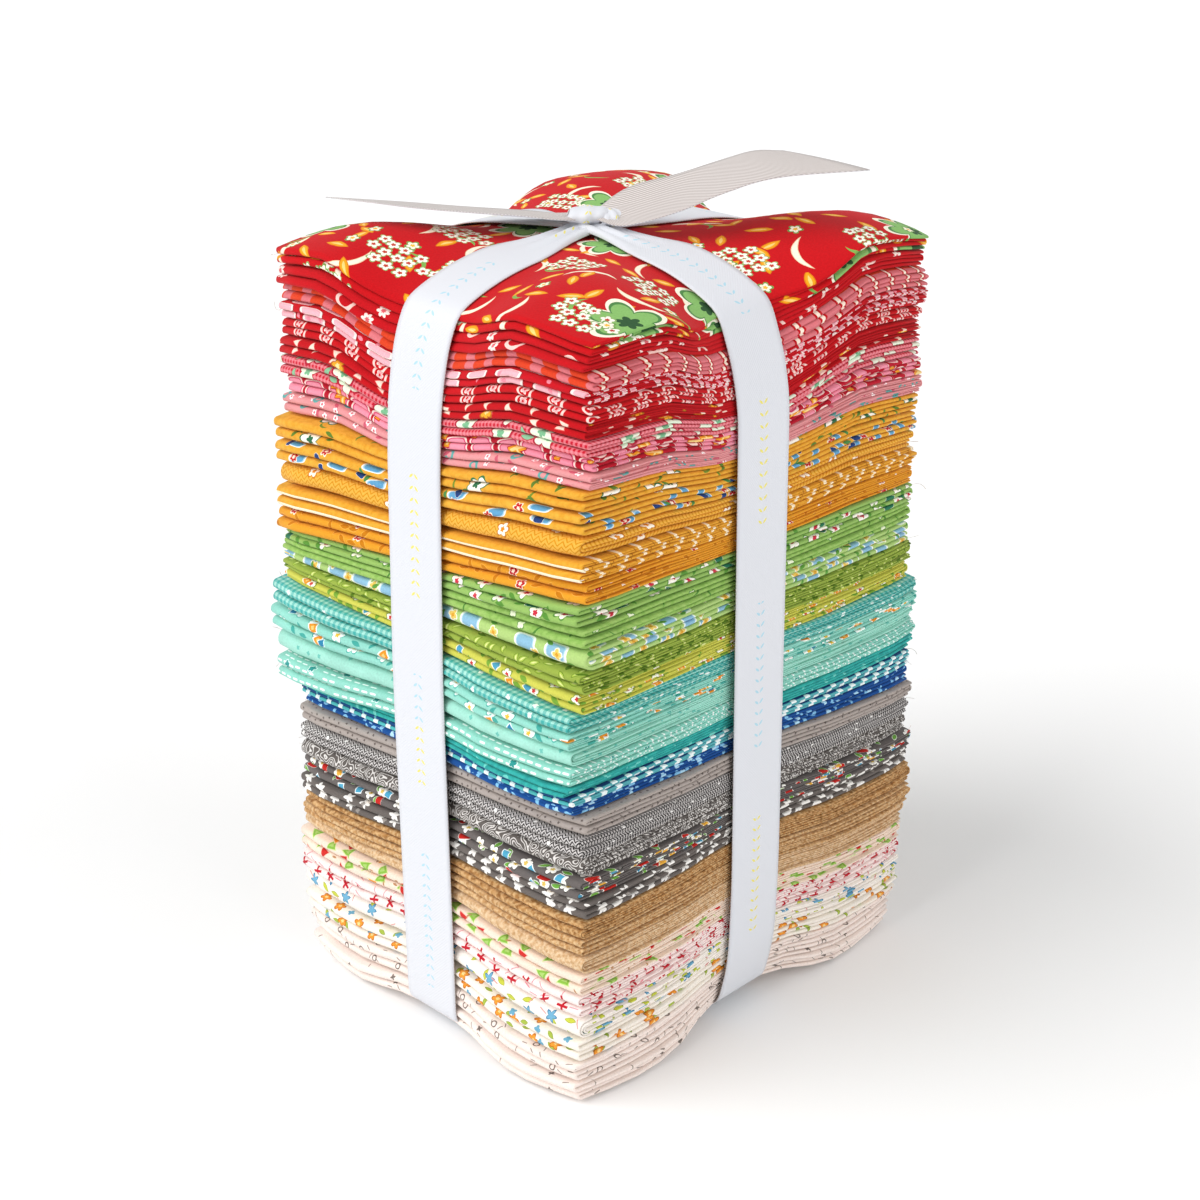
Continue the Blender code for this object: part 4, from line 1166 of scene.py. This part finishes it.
        Layer("leaf", 5.3, 1.8, 0.4, "c4cb48", "8f9c2c", share=0.6),
        Layer("star", 8.3, 2.2, 5, "6fabca", "3f7fa6", share=0.6, shift=(4, 2)),
        Layer("bar", 6.1, 1.4, 0.12, "dd9693", share=0.55, shift=(2, 5)),
    ),
    "white_posies": (
        "f4ece1",
        Layer("leaf", 5.3, 1.5, 0.42, "a3b748", "77892c", share=0.6),
        Layer("petals", 7.4, 2.0, 5, "ec9734", "c06f1c", "f8d890", 0.65, shift=(3, 1)),
        Layer("petals", 10.2, 1.2, 4, "6aa6c2", share=0.6, shift=(6, 4)),
    ),
    "cream_marks": (
        "f2e4dc",
        Layer("bar", 3.2, 0.9, 0.16, "8f827b", share=0.45),
        Layer("ring", 7.4, 0.8, 0.24, "7a6d67", share=0.6, shift=(3, 2)),
    ),
    "cream_under": (
        "f3e5dd",
        Layer("bar", 4.1, 0.9, 0.18, "958880", share=0.35),
        Layer("star", 9.3, 1.0, 4, "7a6e67", share=0.5, shift=(3, 4)),
    ),
}
PATTERNS = ("stripe", "blocks", "check", "zigzag", "scroll", "mottle")
POSY_RADIUS = 9.0
HEART_FROM = 0.68


def printed(tree, flat, ground, layers):
    """Colour socket of a ground with its layers printed over it in turn."""
    colour = ground
    for layer in layers:
        shift = (layer.shift[0] * MM, layer.shift[1] * MM, 0.0)
        if layer.kind in PATTERNS:
            moved = tree.vector("ADD", flat, shift)
            mask = tree.group("Pattern " + layer.kind, flat=moved, size=layer.size * MM, detail=layer.detail)
            colour = tree.blend(mask["Shape"], colour, dye(layer.fill))
            continue
        cell = tree.group(
            "Motif cells",
            flat=flat,
            spacing=layer.spacing * MM,
            stretch=layer.stretch,
            stagger=layer.stagger,
            jitter=layer.jitter,
            turn=layer.turn,
            shift=shift,
        )
        if layer.kind == "cluster":
            bunch = tree.group(
                "Motif cells",
                flat=cell["Centre"],
                spacing=layer.share * MM,
                stretch=1.0,
                jitter=0.7,
                shift=shift,
            )
            spread = tree.vector("MULTIPLY", bunch["Local"], (1.0, 1.4, 0.0))
            shown = tree.math("LESS_THAN", tree.vector("LENGTH", spread), POSY_RADIUS * MM)
            shape = "Motif petals"
        else:
            shown = tree.math("LESS_THAN", cell["Chance"], layer.share)
            shape = "Motif " + layer.kind
        depth = tree.group(shape, local=cell["Local"], size=layer.size * MM, detail=layer.detail)["Depth"]
        colour = tree.group(
            "Motif ink",
            under=colour,
            depth=depth,
            shown=shown,
            fill=dye(layer.fill),
            line=dye(layer.line or layer.fill),
            line_width=layer.width,
            heart=dye(layer.heart or layer.fill),
            heart_from=HEART_FROM,
        )["Colour"]
    return colour


for name, (ground, *layers) in PRINTS.items():
    material, tree, shader = new_material(name, 0.9)
    uv = tree.node("ShaderNodeUVMap", uv_map="flat").outputs[0]
    flat = tree.vector("SUBTRACT", uv, (FOLD_ACROSS * MM, FOLD_ALONG * MM, 0.0))
    wrong = tree.node("ShaderNodeAttribute", attribute_name="wrong_side").outputs["Fac"]
    finish = tree.group(
        "Cotton finish", print=printed(tree, flat, dye(ground), layers), flat=uv, wrong_side=wrong
    )
    shader.inputs["Specular IOR Level"].default_value = 0.15
    shader.inputs["Sheen Weight"].default_value = 0.05
    tree.feed(shader.inputs["Base Color"], finish["Colour"])
    tree.feed(shader.inputs["Normal"], finish["Normal"])
    cloth_pieces[name].data.materials.append(material)

# Loose threads
# Fat quarters are cut, not hemmed, so short cotton threads hang from the cut edges, which all lie on
# the two sides away from the folds. They are the last weft or warp threads and are held by the weave.
group = bpy.data.node_groups.new("Loose threads", "GeometryNodeTree")
group.interface.new_socket("Geometry", in_out="INPUT", socket_type="NodeSocketGeometry")
for label, kind, value in (
    ("Spacing", FLOAT, 7.0 * MM),
    ("Length", FLOAT, 3.4 * MM),
    ("Thickness", FLOAT, 0.09 * MM),
    ("Share", FLOAT, 0.08),
    ("Seed", "NodeSocketInt", 3),
    ("Outwards", VECTOR, (0.0, 0.0, 1.0)),
):
    group.interface.new_socket(label, in_out="INPUT", socket_type=kind).default_value = value
group.interface.new_socket("Material", in_out="INPUT", socket_type="NodeSocketMaterial")
group.interface.new_socket("Geometry", in_out="OUTPUT", socket_type="NodeSocketGeometry")
tree = Tree(group)
given = group.nodes.new("NodeGroupInput").outputs
edges = tree.node("GeometryNodeMeshToCurve", {"Mesh": given["Geometry"]}).outputs[0]
places = tree.node("GeometryNodeResampleCurve", {"Curve": edges, "Length": given["Spacing"]}, mode="LENGTH")
bowed = tree.math("MULTIPLY", given["Length"], 0.4)
hooked = tree.math("MULTIPLY", given["Length"], -0.3)
aside = tree.math("MULTIPLY", given["Length"], 0.5)
bend = tree.node(
    "GeometryNodeCurveQuadraticBezier",
    {
        "Resolution": 4,
        "Start": (0.0, 0.0, 0.0),
        "Middle": tree.join(bowed, 0.0, given["Length"]),
        "End": tree.join(hooked, aside, given["Length"]),
    },
).outputs[0]
section = tree.node(
    "GeometryNodeCurvePrimitiveCircle", {"Resolution": 3, "Radius": given["Thickness"]}, mode="RADIUS"
).outputs[0]
thread = tree.node("GeometryNodeCurveToMesh", {"Curve": bend, "Profile Curve": section, "Fill Caps": True})
kept = tree.node(
    "FunctionNodeRandomValue", {"Probability": given["Share"], "Seed": given["Seed"]}, data_type="BOOLEAN"
)
spin = tree.node(
    "FunctionNodeRandomValue",
    {0: (-0.7, -0.7, -3.1), 1: (0.7, 0.7, 3.1), "Seed": given["Seed"]},
    data_type="FLOAT_VECTOR",
)
stretch = tree.node(
    "FunctionNodeRandomValue", {2: 0.4, 3: 1.2, "Seed": given["Seed"]}, data_type="FLOAT"
)
aim_out = tree.node("FunctionNodeAlignRotationToVector", {"Vector": given["Outwards"]}, axis="Z").outputs[0]
turned = tree.node("FunctionNodeRotateRotation", {0: aim_out, 1: spin.outputs[0]}, rotation_space="LOCAL")
threads = tree.node(
    "GeometryNodeInstanceOnPoints",
    {
        "Points": places.outputs[0],
        "Selection": kept.outputs[3],
        "Instance": thread.outputs[0],
        "Rotation": turned.outputs[0],
        "Scale": stretch.outputs[1],
    },
).outputs[0]
real = tree.node("GeometryNodeRealizeInstances", {"Geometry": threads}).outputs[0]
dyed = tree.node("GeometryNodeSetMaterial", {"Geometry": real, "Material": given["Material"]}).outputs[0]
tree.feed(group.nodes.new("NodeGroupOutput").inputs[0], dyed)

material, tree, shader = new_material("loose_thread", 0.9)
place = tree.node("ShaderNodeTexCoord").outputs["Object"]
fuzz = tree.node("ShaderNodeTexNoise", {"Vector": place, "Scale": 900.0}).outputs[0]
tree.feed(shader.inputs["Base Color"], tree.blend(fuzz, dye("cfc8be"), dye("fbf8f2")))

# The lowest two cloths have no loose threads, so none reaches below the bundle. Under the ribbon
# the edges do have them, and some of those go through it on these two hidden sides.
ThreadRow = namedtuple("ThreadRow", "name outwards seed")
for row in (ThreadRow("west", (-1.0, 0.0, -0.5), 3), ThreadRow("north", (0.0, 1.0, -0.5), 8)):
    if row.name == "west":
        rims = [grid[:, column] for grid in grids[2:] for column in (0, -1)]
    else:
        rims = [grid[line] for grid in grids[2:] for line in (0, -1)]
    joins, start = [], 0
    for rim in rims:
        joins += [(start + k, start + k + 1) for k in range(len(rim) - 1)]
        start += len(rim)
    guide = bpy.data.meshes.new("thread_guide")
    guide.from_pydata((np.concatenate(rims) * MM).tolist(), joins, [])
    holder = bpy.data.objects.new("thread_guide", guide)
    scene.collection.objects.link(holder)
    modifier = holder.modifiers.new("threads", "NODES")
    modifier.node_group = group
    sockets = [socket for socket in group.interface.items_tree if socket.in_out == "INPUT"]
    named = {socket.name: socket.identifier for socket in sockets}
    modifier[named["Outwards"]] = row.outwards
    modifier[named["Seed"]] = row.seed
    modifier[named["Material"]] = material
    evaluated = holder.evaluated_get(bpy.context.evaluated_depsgraph_get())
    mesh = bpy.data.meshes.new_from_object(evaluated)
    bpy.data.objects.remove(holder)
    mesh.materials.clear()
    mesh.materials.append(material)
    mesh.polygons.foreach_set("material_index", np.zeros(len(mesh.polygons), np.int32))
    fringe = bpy.data.objects.new("threads_" + row.name, mesh)
    scene.collection.objects.link(fringe)
    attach(fringe, "root")

# Ribbon twill
# White ribbon with a fine diagonal twill, a bound edge on each side, and small pale marks printed
# in runs along its middle. Its wrong side, which the knot turns up on the tails, is bare and carries
# painted shade: it is painted grey, darker along the twill's lines.
material, tree, shader = new_material("ribbon_twill", 0.55)
uv = tree.node("ShaderNodeUVMap", uv_map="flat").outputs[0]
x, y, _ = tree.split(uv)
beat = tree.math("SUBTRACT", tree.math("FRACT", tree.math("DIVIDE", y, 3.2 * MM)), 0.5)
leaf_place = tree.join(
    tree.math("SUBTRACT", tree.math("ABSOLUTE", x), 0.9 * MM), tree.math("MULTIPLY", beat, 3.2 * MM)
)
slanted = tree.node(
    "ShaderNodeVectorRotate", {"Vector": leaf_place, "Angle": -0.7}, rotation_type="Z_AXIS"
).outputs[0]
leaf = tree.group("Motif leaf", local=slanted, size=0.95 * MM, detail=0.34)["Depth"]
marks = tree.math("GREATER_THAN", leaf, 0.0)
first_run = stripe_mask(tree, y, 120.0 * MM, 0.3)
second_run = stripe_mask(tree, tree.math("ADD", y, 60.0 * MM), 120.0 * MM, 0.36)
white = dye("dadce2")
colour = tree.blend(tree.math("MULTIPLY", marks, first_run), white, dye("e9dc6a"))
colour = tree.blend(tree.math("MULTIPLY", marks, second_run), colour, dye("a9d3e2"))
twill = tree.math("SINE", tree.math("MULTIPLY", tree.math("ADD", x, y), 2 * math.pi / (0.9 * MM)))
bound = tree.math("GREATER_THAN", tree.math("ABSOLUTE", x), 8.9 * MM)
# Painted shade: the ribbon's wrong side is painted grey, darkest along the twill's lines.
painted_shade_wrong_side = tree.blend(tree.math("MULTIPLY_ADD", twill, 0.5, 0.5), dye("a59b96"), dye("ddd6d3"))
wrong = tree.node("ShaderNodeAttribute", attribute_name="wrong_side").outputs["Fac"]
colour = tree.blend(wrong, colour, painted_shade_wrong_side)
relief = tree.math("ADD", tree.math("MULTIPLY", twill, 0.3), tree.math("MULTIPLY", bound, 1.0))
bump = tree.node("ShaderNodeBump", {"Height": relief, "Distance": 0.0001, "Strength": 0.5})
shader.inputs["Sheen Weight"].default_value = 0.1
tree.feed(shader.inputs["Base Color"], colour)
tree.feed(shader.inputs["Normal"], bump.outputs[0])
for part in ribbon_parts:
    part.data.materials.append(material)

# Floor and light
# The bundle stands on a plain pale floor under a broad soft light from the upper left, with a
# weaker fill on its layered side.
floor = bpy.data.objects.new("floor", bpy.data.meshes.new("floor"))
floor.data.from_pydata(
    [(-8, -8, -0.0002), (8, -8, -0.0002), (8, 8, -0.0002), (-8, 8, -0.0002)], [], [(0, 1, 2, 3)]
)
scene.collection.objects.link(floor)
material, tree, shader = new_material("floor", 0.9)
tree.feed(shader.inputs["Base Color"], (0.93, 0.93, 0.93, 1))
floor.data.materials.append(material)

LampRow = namedtuple("LampRow", "name strength spread azimuth elevation")
for row in (
    LampRow("key", 2.25, 50.0, -25.0, 42.0),
    LampRow("fill", 0.9, 60.0, 110.0, 25.0),
):
    lamp = bpy.data.objects.new(row.name, bpy.data.lights.new(row.name, "SUN"))
    lamp.data.energy = row.strength
    lamp.data.angle = math.radians(row.spread)
    a, e = math.radians(row.azimuth), math.radians(row.elevation)
    out = Vector((math.sin(a) * math.cos(e), -math.cos(a) * math.cos(e), math.sin(e)))
    lamp.rotation_mode = "QUATERNION"
    lamp.rotation_quaternion = (-out).to_track_quat("-Z", "Y")
    scene.collection.objects.link(lamp)
world = bpy.data.worlds.new("world")
world.use_nodes = True
world.node_tree.nodes["Background"].inputs["Color"].default_value = (1.0, 1.0, 1.0, 1.0)
world.node_tree.nodes["Background"].inputs["Strength"].default_value = 0.58
scene.world = world
scene.view_settings.view_transform = "Standard"
